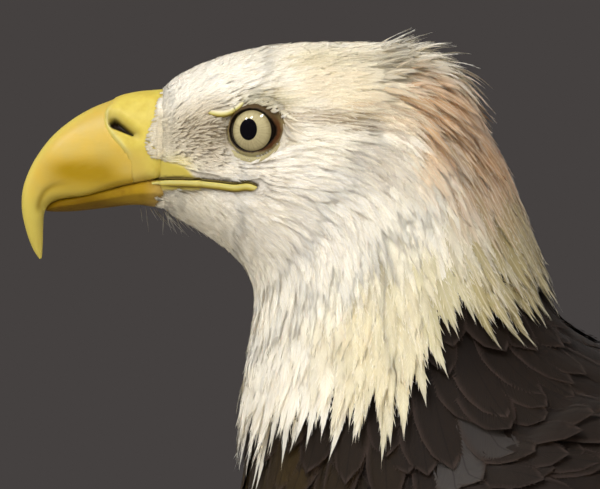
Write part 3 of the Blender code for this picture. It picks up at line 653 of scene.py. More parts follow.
def scute_material():
    """Horny scales over the tarsus and toes: small rounded plates, glossier on top than between."""
    mat, tree, shader = new_material("scaled_foot_skin", 0.45, Subsurface_Weight=0.1,
                                     Subsurface_Scale=0.0015)
    spot = add_node(tree, "TexCoord", out="Object")
    cells = add_node(tree, "TexVoronoi", {"Vector": spot, "Scale": 420.0},
                     feature="DISTANCE_TO_EDGE")
    crack = add_node(tree, "MapRange", {"Value": cells, "From Max": 0.09}, **SMOOTH)
    cloud = add_node(tree, "TexNoise", {"Vector": spot, "Scale": 120.0, "Detail": 4.0})
    uneven = add_node(tree, "MapRange", {"Value": cloud, "From Min": 0.35, "From Max": 0.7})
    scale = add_node(tree, "Mix", {FACTOR: uneven, FIRST: "#DDB32E", SECOND: "#C8961E"}, **MIX)
    colour = add_node(tree, "Mix", {FACTOR: crack, FIRST: "#A37C22", SECOND: scale}, **MIX)
    relief = add_node(tree, "Bump", {"Height": crack, "Distance": 0.0004, "Strength": 0.7})
    tree.links.new(colour, shader.inputs["Base Color"])
    tree.links.new(relief, shader.inputs["Normal"])
    return mat


def talon_material():
    """Black horn claw, polished by use, with faint long striations and a greyer worn tip."""
    mat, tree, shader = new_material("black_claw_horn", 0.28, IOR=1.54, Coat_Weight=0.2,
                                     Coat_Roughness=0.2)
    spot = add_node(tree, "TexCoord", out="Object")
    cloud = add_node(tree, "TexNoise", {"Vector": spot, "Scale": 500.0, "Detail": 4.0})
    worn = add_node(tree, "MapRange", {"Value": cloud, "From Min": 0.4, "From Max": 0.75})
    colour = add_node(tree, "Mix", {FACTOR: worn, FIRST: "#141210", SECOND: "#38332E"}, **MIX)
    rough = add_node(tree, "MapRange", {"Value": cloud, "To Min": 0.2, "To Max": 0.42})
    tree.links.new(colour, shader.inputs["Base Color"])
    tree.links.new(rough, shader.inputs["Roughness"])
    return mat


def floor_material():
    """Matt pale studio floor, with the faint mottle of rolled paint."""
    mat, tree, shader = new_material("pale_floor_paint", 0.85)
    spot = add_node(tree, "TexCoord", out="Object")
    cloud = add_node(tree, "TexNoise", {"Vector": spot, "Scale": 6.0, "Detail": 4.0})
    colour = add_node(tree, "Mix", {FACTOR: cloud, FIRST: "#BFBBB4", SECOND: "#C8C4BD"}, **MIX)
    tree.links.new(colour, shader.inputs["Base Color"])
    return mat


# Bill -----------------------------------------------------------------------------------------


def bill_rings(rows, places, count):
    """Rings round the bill, each with a rounded top and a squarer, flatter lower half."""
    rings = []
    turn = np.linspace(0, 2 * math.pi, count, endpoint=False)
    for row in read(rows, places):
        top = np.array(row[0:2])
        low = np.array(row[2:4])
        half_width, upper, lower, widest = row[4:]
        square = upper + (lower - upper) * step(-np.cos(turn), -0.3, 0.5)
        height = np.sign(np.cos(turn)) * np.abs(np.cos(turn)) ** (2 / square)
        across = np.sign(np.sin(turn)) * np.abs(np.sin(turn)) ** (2 / square)
        height += widest * (1 - height**2)
        middle = (top + low) / 2
        side = middle + (top - low) / 2 * height[:, None]
        rings.append(place_all(side[:, 0], side[:, 1], across * half_width))
    return rings


def edge_side(forward, up, path):
    """How far behind a line that runs down the side of the bill a point lies, in millimetres."""
    line = read(path, np.linspace(0, len(path) - 1, 12 * len(path)))
    order = np.argsort(line[:, 1])
    edge = np.interp(up, line[order, 1], line[order, 0])
    gap, _ = path_distance(forward, up, path)
    return np.where(forward < edge, gap, -gap)


def make_horn():
    """The hooked upper bill: one smooth horn, grooved inside the hook and lipped at its edge."""
    # From the second cross-section, which the cere covers, to the tip.
    places = np.linspace(1.0, len(UPPER_BILL) - 1, 110)
    piece = ringed("upper_bill", bill_rings(UPPER_BILL, places, 96))
    points = points_of(piece)
    normals = normals_of(piece)
    forward, up, _ = side_view(points)
    on_side = step(np.abs(normals[:, 0]), 0.25, 0.6)
    # The groove inside the hook is dented and painted darker as its shade.
    groove, along = path_distance(forward, up, HOOK_GROOVE)
    groove = np.exp(-(groove / 0.9) ** 2) * on_side * step(along, 0.0, 0.2) * step(along, 1.0, 0.6)
    lip, _ = path_distance(forward, up, TOMIUM)
    swell = np.exp(-((lip - 1.2) / 1.0) ** 2) * on_side
    under_cere = step(edge_side(forward, up, CERE_EDGE), 0.25, 1.1)
    move = -0.30 * groove + 0.18 * swell - 3.6 * under_cere
    set_points(piece, points + normals * (move * MM)[:, None])
    culmen, _ = path_distance(forward, up, [row[:2] for row in UPPER_BILL])
    streak, _ = path_distance(forward, up, GOLD_STREAK)
    # A band low on the side: a deeper gold, darkened further as painted shade where the side turns
    # away from the light.
    gold_and_shade = 0.70 * step(up, -5.5, -12.5) * step(forward, 37, 48) * step(forward, 73, 57)
    gold_and_shade += 0.45 * np.exp(-(streak / 2.8) ** 2) * step(forward, 38, 50) * step(forward, 70, 54)
    # The ridge mask paints a highlight along the culmen.
    store(piece, ridge=np.exp(-(culmen / 1.6) ** 2) * step(forward, 40, 60),
          band=np.minimum(gold_and_shade, 0.95), lip=0.8 * step(lip, 4.5, 1.0) * on_side,
          groove=0.8 * groove, hook=step(up, -14, -27))
    dress(piece, horn_material(), "bill_horn", "bill_upper")


def make_cere(mat):
    """The soft cere over the root of the bill, with its raised rim and the slit of the nostril."""
    places = np.linspace(0.0, 3.6, 74)
    piece = ringed("cere_skin", bill_rings(UPPER_BILL, places, 240))
    points = points_of(piece)
    normals = normals_of(piece)
    forward, up, _ = side_view(points)
    on_side = step(np.abs(normals[:, 0]), 0.2, 0.6)
    behind = edge_side(forward, up, CERE_EDGE)
    # The rim stands up round the nostril and fades above and below it.
    strength = step(up, -9.5, -4.0) * (0.12 + 0.88 * step(up, 9.0, 5.0))
    rim = np.exp(-((behind - 0.9) / 0.7) ** 2) * strength
    full = 0.30 * step(behind, 0.2, 1.6) * (0.25 + 0.75 * step(up, -12.0, -5.0))
    full += 0.55 * step(behind, 1.5, 10.0) * step(up, 7.0, 10.5)
    (front, top), (back, low) = NOSTRIL
    run = np.array((back - front, low - top))
    share = ((forward - front) * run[0] + (up - top) * run[1]) / run.dot(run)
    share = np.clip(share, 0, 1)
    # The slit has a straight, sharp upper edge and a hollow that fades below it.
    off = np.hypot(forward - front - share * run[0], up - top - share * run[1])
    off -= 1.45 - 1.10 * share
    lower = (up - top) * -run[0] + (forward - front) * run[1]
    slit = step(off, 0.35, -0.5) * on_side
    hollow = step(off, 3.8, 0.2) * step(lower, -8, 9) * on_side
    tuck = -0.55 * step(behind, 0.1, -0.9) - 0.15 * step(forward, 28.0, 27.2)
    # It laps over the front edge of the face's skin.
    lap = 0.55 * np.exp(-((forward - 30.2) / 1.5) ** 2) * on_side
    move = 0.60 * rim + full + tuck + lap - 2.5 * slit - 0.7 * hollow
    set_points(piece, points + normals * (move * MM)[:, None])
    low_front = step(up, -3.0, -9.0) * step(behind, 9.0, 0.0)
    in_slit = np.maximum(step(off, 0.3, -0.25), 0.5 * hollow * step(off, 1.4, 0)) * on_side
    # The slit is painted near black, and the hollow below it painted darker, as shade.
    store(piece, horny=np.maximum(low_front, 0.9 * step(behind, 3.5, 0.0) * (1 - strength)),
          pale=0.75 * np.exp(-((behind - 0.9) / 0.55) ** 2) * strength * on_side,
          under=0.55 * hollow * (1 - slit), hollow=in_slit)
    dress(piece, mat, "yellow_skin", "cere")


def make_lower_bill():
    """The shallow lower bill, shut inside the edges of the upper one."""
    places = np.linspace(0.0, len(LOWER_BILL) - 1, 60)
    piece = ringed("lower_bill", bill_rings(LOWER_BILL, places, 72))
    forward, up, _ = side_view(points_of(piece))
    store(piece, back=step(forward, 54.0, 36.0), low=step(up, -22.0, -24.5),
          root=step(forward, 35.0, 28.0))
    dress(piece, lower_bill_material(), "bill_horn", "bill_lower")


def on_side(surface, forward, up, sign):
    """The point of a surface at the side of the bird at this place in its side view."""
    hit, normal = surface.ray_cast(place(forward, up, sign * 200.0), Vector((-sign, 0, 0)))[:2]
    if hit is None:
        hit, normal = surface.find_nearest(place(forward, up, sign * 14.0))[:2]
    return hit, normal


def lip_rings(surface, sign, route, tall, thick, stand_out, count=14):
    """Rings of a soft lip that lies on the side of the head along a side-view route."""
    rings = []
    turn = np.linspace(0, 2 * math.pi, count, endpoint=False)
    last = len(route) - 1
    for index, (forward, up) in enumerate(route):
        centre, normal = on_side(surface, forward, up, sign)
        ahead = Vector(place(*route[min(index + 1, last)]) - place(*route[max(index - 1, 0)]))
        ahead.normalize()
        normal = (normal - ahead * normal.dot(ahead)).normalized()
        upward = normal.cross(ahead).normalized()
        if upward.z < 0:
            upward.negate()
        centre = centre + normal * stand_out[index] * MM
        rise, out = upward * tall[index] * MM, normal * thick[index] * MM
        rings.append([centre + rise * math.cos(a) + out * math.sin(a) for a in turn])
    return rings


def make_lips(mat, surface):
    """The gape: a thick lower lip and a thin upper one that meet behind the mouth's corner. The thin
    upper lip is painted dark as the mouth line's shadow.
    """
    for side_name, sign in SIDES:
        where = np.linspace(0, 1, 44)
        line = read(MOUTH, 0.1 + where * (len(MOUTH) - 1.1))
        swell = np.sin(np.pi * np.clip(where, 0, 1) ** 0.8) ** 0.5
        taper = np.clip(np.minimum(where / 0.22, (1 - where) / 0.12), 0.05, 1) ** 0.6
        stand = 0.25 + 0.35 * swell - 0.9 * step(where, 0.10, 0.0)
        parts = []
        # Each lip: how far below the mouth line it lies, half its height and half its thickness.
        for name, drop, tall, thick in (("low", 1.40, 1.22, 0.42), ("top", -0.20, 0.26, 0.36)):
            down = drop * (0.25 + 0.75 * taper)
            route = list(zip(line[:, 0], line[:, 1] - down))
            parts.append(ringed("lip_" + name, lip_rings(
                surface, sign, route, tall * taper, thick * (0.4 + 0.6 * taper), stand)))
        choose(*parts)
        bpy.ops.object.join()
        piece = bpy.context.object
        piece.name = "gape_lips_" + side_name
        forward, up, _ = side_view(points_of(piece))
        below = np.interp(forward, line[::-1, 0], line[::-1, 1]) - up
        # Painted shade: the underside of the lower lip, the thin upper lip and, darkest, the mouth
        # line between them.
        store(piece, pale=0.75 * step(below, 0.4, 0.9) * step(below, 2.0, 1.3),
              under=0.9 * step(below, 1.5, 2.5) + 0.6 * step(below, 0.5, 0.3),
              hollow=0.75 * step(below, 0.35, 0.1), horny=0)
        dress(piece, mat, "yellow_skin", "gape_" + side_name)


def make_brows(mat, surface):
    """The bare ridge of the brow: thick in front of the eye and drawn to a point above it, its
    underside painted dark as shade.
    """
    for side_name, sign in SIDES:
        where = np.linspace(0, 1, 40)
        line = read(BROW, where * (len(BROW) - 1))
        # Half its height along it, and how far it stands off the skin: its ends sink in.
        girth = np.interp(where, (0, 0.1, 0.3, 0.5, 0.8, 1), (0.3, 0.95, 1.3, 1.1, 0.5, 0.12))
        stand = np.interp(where, (0, 0.2, 0.7, 1), (-0.7, 0.1, 0.3, -0.2))
        piece = ringed("brow_ridge_" + side_name, lip_rings(
            surface, sign, [tuple(p) for p in line], girth, girth * 1.35, stand))
        forward, up, _ = side_view(points_of(piece))
        above = up - np.interp(forward, line[::-1, 0], line[::-1, 1])
        # Its underside is painted dark as the shade under the ridge.
        store(piece, pale=step(above, -0.7, 0.1), cream=step(above, 0.1, 0.9),
              under=0.95 * step(above, -0.2, -0.9), hollow=0, horny=0)
        dress(piece, mat, "yellow_skin", "brow_" + side_name)


# Eyes -----------------------------------------------------------------------------------------


def eye_frame(side_name, sign):
    """The eyeball's centre, and the way it looks, its fore side and its upper side."""
    low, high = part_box("eye_" + side_name)
    turn = math.radians(bpy.context.scene.eagle_eye.forward_turn)
    fall = math.radians(bpy.context.scene.eagle_eye.fall)
    level = Vector((sign * math.cos(turn), -math.sin(turn), 0))
    fore = Vector((-sign * math.sin(turn), -math.cos(turn), 0))
    look = level * math.cos(fall) - Vector((0, 0, math.sin(fall)))
    return (low + high) / 2, look, fore, level * math.sin(fall) + Vector((0, 0, math.cos(fall)))


def lid_opening(turn):
    """The opening's half-width in millimetres by angle, from the fore side up and back."""
    ahead = np.cos(turn)
    above = np.sin(turn)
    rear_point = 0.9 * np.maximum(-ahead, 0) ** 8
    low = np.where(above < 0, 0.55, 0.15) * above**2
    return 7.0 + 1.0 * np.maximum(ahead, 0) ** 2 - 0.1 * np.maximum(-ahead, 0) + rear_point - low


def make_eye(side_name, sign, mat):
    """The eyeball with its raised cornea, poles along its line of sight."""
    centre, look, fore, upward = eye_frame(side_name, sign)
    radius = bpy.context.scene.eagle_eye.radius
    deselect()
    bpy.ops.mesh.primitive_uv_sphere_add(segments=72, ring_count=48, radius=radius,
                                         location=(0, 0, 0))
    piece = bpy.context.object
    piece.name = "eyeball_" + side_name
    points = points_of(piece)
    away = np.hypot(points[:, 0], points[:, 1]) / radius
    # The cornea bulges over the iris, out to about two thirds of the ball's half-width.
    bulge = 1 + 0.055 * step(away, 0.68, 0.15) * (points[:, 2] > 0)
    points *= bulge[:, None]
    basis = np.array([fore, upward, look])
    flat = points[:, :2] / MM
    set_points(piece, points @ basis + np.array(centre))
    bpy.ops.object.mode_set(mode="EDIT")
    bpy.ops.mesh.normals_make_consistent(inside=False)
    bpy.ops.object.mode_set(mode="OBJECT")
    bpy.ops.object.shade_smooth()
    for layer in list(piece.data.uv_layers):
        piece.data.uv_layers.remove(layer)
    # The iris is drawn in millimetres off the line of sight. The ball's back is kept clear of it.
    disc = piece.data.uv_layers.new(name="iris")
    corner = np.empty(len(piece.data.loops), int)
    piece.data.loops.foreach_get("vertex_index", corner)
    front = flat.copy()
    front[points[:, 2] < 0] *= 30.0
    disc.data.foreach_set("uv", front[corner].ravel())
    dress(piece, mat, "pale_iris", "eye_" + side_name)


def make_lids(side_name, sign, mat, surface):
    """The eyelids: a rounded margin against the ball that slopes out to the face."""
    centre, look, fore, upward = eye_frame(side_name, sign)
    ball = bpy.context.scene.eagle_eye.radius / MM
    turn = np.linspace(0, 2 * math.pi, 96, endpoint=False)
    opening = lid_opening(turn)
    ways = [fore * math.cos(a) + upward * math.sin(a) for a in turn]
    outer = opening + 3.2 + 1.6 * np.maximum(-np.cos(turn), 0) ** 2
    outer += np.where(np.sin(turn) > 0, 0.3, 0.7) * np.sin(turn) ** 2
    face = []
    for way, reach in zip(ways, outer):
        start = centre + way * reach * MM + look * 0.03
        hit = surface.ray_cast(start, -look)[0]
        face.append((hit - centre).dot(look) / MM if hit else ball * 0.7)
    face = np.array(face)
    # The lid's rounded margin: how far outside the opening and how high over the ball, which is
    # followed out to 9.2 mm.
    steps = ((-0.5, -0.8), (0.0, 0.25), (0.25, 0.62), (0.75, 0.8), (1.25, 0.66), (1.7, 0.35))
    rings = []
    for out, rise in steps:
        reach = opening + out
        height = np.sqrt(np.maximum(ball**2 - np.minimum(reach, 9.2) ** 2, 1.0)) + rise
        rings.append((reach, height))
    # From there it slopes out to the face with a soft ridge and furrow, and its edge is tucked in.
    last_reach, last_height = rings[-1]
    for share in (0.2, 0.4, 0.6, 0.8, 1.0):
        reach = last_reach + (outer - last_reach) * share
        fold = 0.28 * math.sin(share * math.pi * 2.0)
        height = last_height + (face + 0.2 - last_height) * (share**0.8) + fold
        if share == 1.0:
            height = face - 0.8
        rings.append((reach, height))
    places = [[centre + way * r * MM + look * h * MM for way, r, h in zip(ways, reach, height)]
              for reach, height in rings]
    # The two ends are closed behind, inside the head.
    deep = [centre + way * 6.0 * MM for way in ways]
    piece = ringed("eyelids_" + side_name, [deep] + places + [
        [centre + way * r * MM - look * 0.001 for way, r in zip(ways, outer)]])
    points = points_of(piece) - np.array(centre)
    ahead = points @ np.array(fore) / MM
    above = points @ np.array(upward) / MM
    angle = np.arctan2(above, ahead)
    reach = np.hypot(ahead, above) - lid_opening(angle)
    fore_share = 0.6 + 0.4 * step(np.cos(angle), -1, 0)
    # The upper lid is painted darker above the eye, as the shade under the brow.
    store(piece, away=reach, rear=step(-np.cos(angle), 0.2, 0.8),
          above=step(np.sin(angle), 0.05, 0.75), below=step(-np.sin(angle), -0.2, 0.5) * fore_share)
    dress(piece, mat, "yellow_skin")


# Skin -----------------------------------------------------------------------------------------


def comb_place(forward, up, table):
    """Where points lie on a comb: which line, how far down it, and the lie of feathers there."""
    table = np.asarray([row[:4] for row in table], float)
    fine = np.linspace(0, len(table) - 1, 20 * len(table))
    rows = read(table, fine)
    slope = np.gradient(rows, fine, axis=0)
    best = np.full(len(forward), np.inf)
    pick = np.zeros(len(forward), int)
    down = np.zeros(len(forward))
    for index, row in enumerate(rows):
        run = row[2:] - row[:2]
        length = math.hypot(*run)
        share = ((forward - row[0]) * run[0] + (up - row[1]) * run[1]) / length**2
        gap = np.abs((forward - row[0]) * run[1] - (up - row[1]) * run[0]) / length
        gap += np.maximum(np.abs(share - 0.5) - 0.6, 0) * length
        closer = gap < best
        best[closer] = gap[closer]
        pick[closer] = index
        down[closer] = share[closer]
    down = np.clip(down, 0, 1)
    lie = slope[pick, :2] * (1 - down[:, None]) + slope[pick, 2:] * down[:, None]
    return fine[pick], down, lie


def comb_values(table, where, down):
    """Feather length and skin depth at places on a comb."""
    rows = read([row[4:7] for row in table], where)
    return rows[:, 0] * (1 - down) + rows[:, 1] * down, rows[:, 2]


def solid_copy(nodes, name):
    """One piece from copies of solids, each merged and grown a little so that they overlap."""
    copies = []
    for node in nodes:
        piece = bpy.data.objects.new(name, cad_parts[node].data.copy())
        bpy.context.scene.collection.objects.link(piece)
        copies.append(piece)
    choose(*copies)
    bpy.ops.object.mode_set(mode="EDIT")
    bpy.ops.mesh.select_all(action="SELECT")
    bpy.ops.mesh.remove_doubles(threshold=1e-5)
    bpy.ops.transform.shrink_fatten(value=GROWTH)
    bpy.ops.object.mode_set(mode="OBJECT")
    if len(copies) > 1:
        bpy.ops.object.join()
    piece = bpy.context.view_layer.objects.active
    piece.name = name
    return piece


def nearest_region(points):
    """The part of the skin that each point is in, by the nearest of the solids."""
    trees = [tree_over(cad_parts[name] for name in names) for names in SKIN_NODES]
    gaps = [[tree.find_nearest(point)[3] for point in points] for tree in trees]
    return np.argmin(np.array(gaps), axis=0)


def make_skin(markings):
    """One skin over head, neck, body, wings and thighs, inside the solids by the coat's depth."""
    names = sum(SKIN_NODES, [])
    piece = solid_copy(names, "skin")
    apply_modifier(piece, "REMESH", mode="VOXEL", voxel_size=bpy.context.scene.eagle_coat.skin_grain)
    apply_modifier(piece, "SMOOTH", factor=0.5, iterations=16)
    choose(piece)
    rear, front, low, top = FACE
    for _ in range(2):
        bpy.ops.object.mode_set(mode="EDIT")
        form = bmesh.from_edit_mesh(piece.data)
        for face in form.faces:
            forward, up, _ = side_view(np.array(face.calc_center_median()))
            face.select_set(bool(rear < forward < front and low < up < top))
        bmesh.update_edit_mesh(piece.data)
        bpy.ops.mesh.subdivide(number_cuts=1, smoothness=0.3)
        bpy.ops.object.mode_set(mode="OBJECT")
    points = points_of(piece)
    normals = normals_of(piece)
    forward, up, sideways = side_view(points)
    region = nearest_region([Vector(p) for p in points])
    where, down, _ = comb_place(forward, up, BODY_COMB)
    _, depth = comb_values(BODY_COMB, where, down)
    depth = np.choose(region, (depth, WING_DEPTH, THIGH_DEPTH))
    depth = soften(piece, depth[:, None], 10)[:, 0]
    # The bare strip over the mouth has no coat, and swells a little instead.
    uncovered = step(bare_depth(forward, up, sideways), -1.5, 0.5)
    depth = depth * (1 - uncovered) - 0.2 * uncovered
    points = points - normals * (depth * MM)[:, None]
    # Round each eye it lies behind the lids, at most 6.2 mm out from the ball's centre.
    for side_name, sign in SIDES:
        centre, look = [np.array(vector) for vector in eye_frame(side_name, sign)[:2]]
        offset = points - centre
        height = offset @ look
        spread = np.linalg.norm(offset - height[:, None] * look, axis=1) / MM
        near = step(spread, 11.2, 8.2) * (height > 0)
        points -= look * (near * np.maximum(height - 0.0062, 0))[:, None]
    set_points(piece, points)
    forward, up, sideways = side_view(points)
    gap, _ = path_distance(forward, up, MOUTH)
    dark = step(where - white_edge(down), 0.3, 0.5)
    dark = dark * step(where, TAIL_COVERTS + 0.1, TAIL_COVERTS - 0.2)
    dark = np.where(region == BODY, dark, 1.0)
    # Painted shade along the crease of the mouth line.
    store(piece, seam=step(gap, 1.1, 0.35) * (np.abs(sideways) > 6),
          bare=step(bare_depth(forward, up, sideways), -0.9, 0.5),
          dark=soften(piece, dark[:, None], 2)[:, 0])
    store_roots(piece, (forward, up, sideways))
    choose(piece)
    bpy.ops.object.mode_set(mode="EDIT")
    bpy.ops.mesh.select_all(action="SELECT")
    bpy.ops.uv.smart_project(angle_limit=math.radians(66), island_margin=0.002)
    bpy.ops.object.mode_set(mode="OBJECT")
    piece.data.uv_layers[0].name = BAKE_MAP
    bpy.ops.object.shade_smooth()
    dress(piece, skin_material(markings), "white_plumage", *names)
    return piece, region


def soften(piece, values, rounds):
    """Averages values at the piece's points with their neighbours'."""
    edges = np.empty(len(piece.data.edges) * 2, int)
    piece.data.edges.foreach_get("vertices", edges)
    edges = edges.reshape(-1, 2)
    count = np.bincount(edges.ravel(), minlength=len(values)).astype(float)[:, None]
    for _ in range(rounds):
        total = np.empty_like(values)
        for column in range(values.shape[1]):
            total[:, column] = np.bincount(edges[:, 0], values[edges[:, 1], column], len(values))
            total[:, column] += np.bincount(edges[:, 1], values[edges[:, 0], column], len(values))
        values = 0.5 * values + 0.5 * total / np.maximum(count, 1)
    return values


# Feathers -------------------------------------------------------------------------------------

# How a kind of feather is cut: segments along its shaft, barbs on each side, the share of its
# width that is closed vane, how far ahead of its root a barb ends, its arch across, and the
# powers that shape its outline near the root, near the tip and at the very tip.
# round is how much its shading turns across it, and loose how uneven its barbs are.
Cut = namedtuple("Cut", "segments barbs closed sweep arch root_power tip_power tip_round round loose")
HACKLE = Cut(7, 14, 0.62, 0.16, 0.09, 2.6, 2.3, 0.95, 0.16, 0.14)
SHORT = Cut(4, 7, 0.50, 0.28, 0.12, 3.0, 2.0, 0.8, 0.14, 0.14)
CONTOUR = Cut(7, 32, 0.93, 0.05, 0.16, 4.5, 4.0, 0.62, 0.20, 0.03)
LONG = Cut(18, 24, 0.995, 0.03, 0.04, 9.0, 9.0, 0.55, 0.16, 0.01)
BRISTLE = Cut(5, 2, 1.0, 0.10, 0.10, 9.0, 1.2, 1.0, 0.1, 0.02)
# How far a feather's root stands off the skin in millimetres, the least width of a vane as a
# share of its widest, the shares of the shaft where barbs start, how far out from the shaft
# they do as a share of the closed vane, and how wide their roots are in gaps between them.
ROOT_LIFT = 0.15
SLIMMEST = 0.05
BARB_SPAN = (0.06, 0.97)
BARB_ROOT = 0.7
BARB_BASE = 1.15

Skin = namedtuple("Skin", "points normals triangles corners_uv areas lie length depth where down "
                          "region tree face_lie")
# What one operator leaves for those after it: the surveyed skin, the white markings with their
# painted shade, and the bare skin's material.
work = {}


def survey(piece, region):
    """Reads the finished skin: its triangles, its map, and the lie and length of feathers on it."""
    mesh = piece.data
    points = points_of(piece)
    normals = normals_of(piece)
    mesh.calc_loop_triangles()
    triangles = np.empty(len(mesh.loop_triangles) * 3, int)
    mesh.loop_triangles.foreach_get("vertices", triangles)
    loops = np.empty(len(triangles), int)
    mesh.loop_triangles.foreach_get("loops", loops)
    areas = np.empty(len(mesh.loop_triangles))
    mesh.loop_triangles.foreach_get("area", areas)
    flat = np.empty(len(mesh.loops) * 2)
    mesh.uv_layers[BAKE_MAP].data.foreach_get("uv", flat)
    corners = flat.reshape(-1, 2)[loops].reshape(-1, 3, 2)
    triangles = triangles.reshape(-1, 3)
    forward, up, _ = side_view(points)
    # Each part of the skin has its own comb; a wing's runs between the edges of its outline.
    wing_comb = [(row[0], row[1], row[3], row[4]) for row in WING]
    where, down, lie = zip(*(comb_place(forward, up, comb)
                             for comb in (BODY_COMB, wing_comb, THIGH_COMB)))
    length, depth = comb_values(BODY_COMB, where[BODY], down[BODY])
    leg_length, leg_depth = comb_values(THIGH_COMB, where[THIGH], down[THIGH])
    wing_length = np.interp(where[WING_SIDE], range(len(WING_LENGTHS)), WING_LENGTHS)
    length = np.choose(region, (length, wing_length, leg_length))
    depth = np.choose(region, (depth, WING_DEPTH, leg_depth))
    lie = np.choose(region[:, None], lie)
    ways = unit(np.stack([np.zeros(len(lie)), -lie[:, 0], lie[:, 1]], axis=1))
    for _ in range(3):
        ways = soften(piece, ways, 4)
        ways = unit(ways - normals * np.sum(ways * normals, axis=1, keepdims=True))
    length = soften(piece, length[:, None], 8)[:, 0]
    tree = BVHTree.FromPolygons(points.tolist(), triangles.tolist())
    face_lie = unit(ways[triangles].mean(axis=1))
    return Skin(points, normals, triangles, corners, areas, ways, length, depth,
                np.choose(region, where), np.choose(region, down), region, tree, face_lie)


def thin_out(points, spacing):
    """Picks points, in order, that keep their spacing from those picked before."""
    level = np.ceil(np.log2(spacing) * 2).astype(int).tolist()
    grid = {}
    kept = []
    near = [(i, j, k) for i in (-1, 0, 1) for j in (-1, 0, 1) for k in (-1, 0, 1)]
    for index, (x, y, z) in enumerate(points.tolist()):
        cell = 2 ** (level[index] / 2)
        i, j, k = int(x // cell), int(y // cell), int(z // cell)
        limit = spacing[index] ** 2
        if any((u - x) ** 2 + (v - y) ** 2 + (w - z) ** 2 < limit for a, b, c in near
               for u, v, w in grid.get((level[index], i + a, j + b, k + c), ())):
            continue
        grid.setdefault((level[index], i, j, k), []).append((x, y, z))
        kept.append(index)
    return np.array(kept, int)


# Roots of feathers: as the skin is at each, with its place on the map and in the side view.
Roots = namedtuple("Roots", "points normals lie length depth where down bake side")


# Random places tried for each square of skin as wide as the gap between roots.
TRIES = 2.4


def scatter(skin, allowed, spacing, rng):
    """Roots spread over the allowed part of the skin, at about the spacing asked for there."""
    corners = skin.triangles
    gap = spacing[corners].mean(axis=1)
    weight = skin.areas / (gap * MM) ** 2 * allowed[corners].all(axis=1)
    total = int(weight.sum() * TRIES)
    pick = rng.choice(len(corners), total, p=weight / weight.sum())
    share = rng.dirichlet((1, 1, 1), total)
    spots = np.einsum("ij,ijk->ik", share, skin.points[corners[pick]])
    pick_kept = thin_out(spots / MM, gap[pick])
    pick, share, spots = pick[pick_kept], share[pick_kept], spots[pick_kept]
    at = corners[pick]

    def mean(values):
        return np.einsum("ij,ij...->i...", share, values[at])

    bake = np.einsum("ij,ijk->ik", share, skin.corners_uv[pick])
    return Roots(spots, unit(mean(skin.normals)), unit(mean(skin.lie)), mean(skin.length),
                 mean(skin.depth), mean(skin.where), mean(skin.down), bake, side_view(spots))


def choose_roots(roots, chosen):
    """The roots for which chosen is true."""
    side = tuple(values[chosen] for values in roots.side)
    return Roots(*(values[chosen] for values in roots[:-1]), side)


def grow(skin, roots, lengths, rise, curl, segments):
    """Shafts that follow the skin from their roots and lift towards their tips, and their ups."""
    count = len(lengths)
    shafts = np.empty((count, segments + 1, 3))
    ups = np.empty((count, segments + 1, 3))
    for index in range(count):
        point = Vector(roots.points[index])
        normal = Vector(roots.normals[index])
        lie = Vector(roots.lie[index])
        stride = lengths[index] * MM / segments
        bend = curl[index] / segments
        for k in range(segments + 1):
            lift = (ROOT_LIFT + rise[index] * (k / segments) ** 0.9) * MM
            shafts[index, k] = point + normal * lift
            ups[index, k] = normal
            if k == segments:
                break
            # Each step goes on from the nearest skin, turned a fifth towards the lie there.
            spot, facing, face, _ = skin.tree.find_nearest(point + lie * stride)
            normal = (normal + facing).normalized()
            lie = lie * 0.8 + Vector(skin.face_lie[face]) * 0.2 + normal.cross(lie) * bend
            lie = (lie - normal * lie.dot(normal)).normalized()
            point = spot
    return shafts, ups


def outline(cut, share):
    """Half the width of a feather along its shaft, 1 at its widest."""
    fine = np.linspace(0, 1, 60)
    shape = [(1 - (1 - s) ** cut.root_power) * (1 - s**cut.tip_power) ** cut.tip_round
             for s in (fine, np.asarray(share))]
    return shape[1] / shape[0].max()


def along_shaft(values, share):
    """Values read at shares of the way along each shaft."""
    place_on = np.clip(share, 0, 1) * (values.shape[1] - 1)
    low = np.minimum(place_on.astype(int), values.shape[1] - 2)
    part = (place_on - low)[None, :, None]
    return values[:, low] * (1 - part) + values[:, low + 1] * part


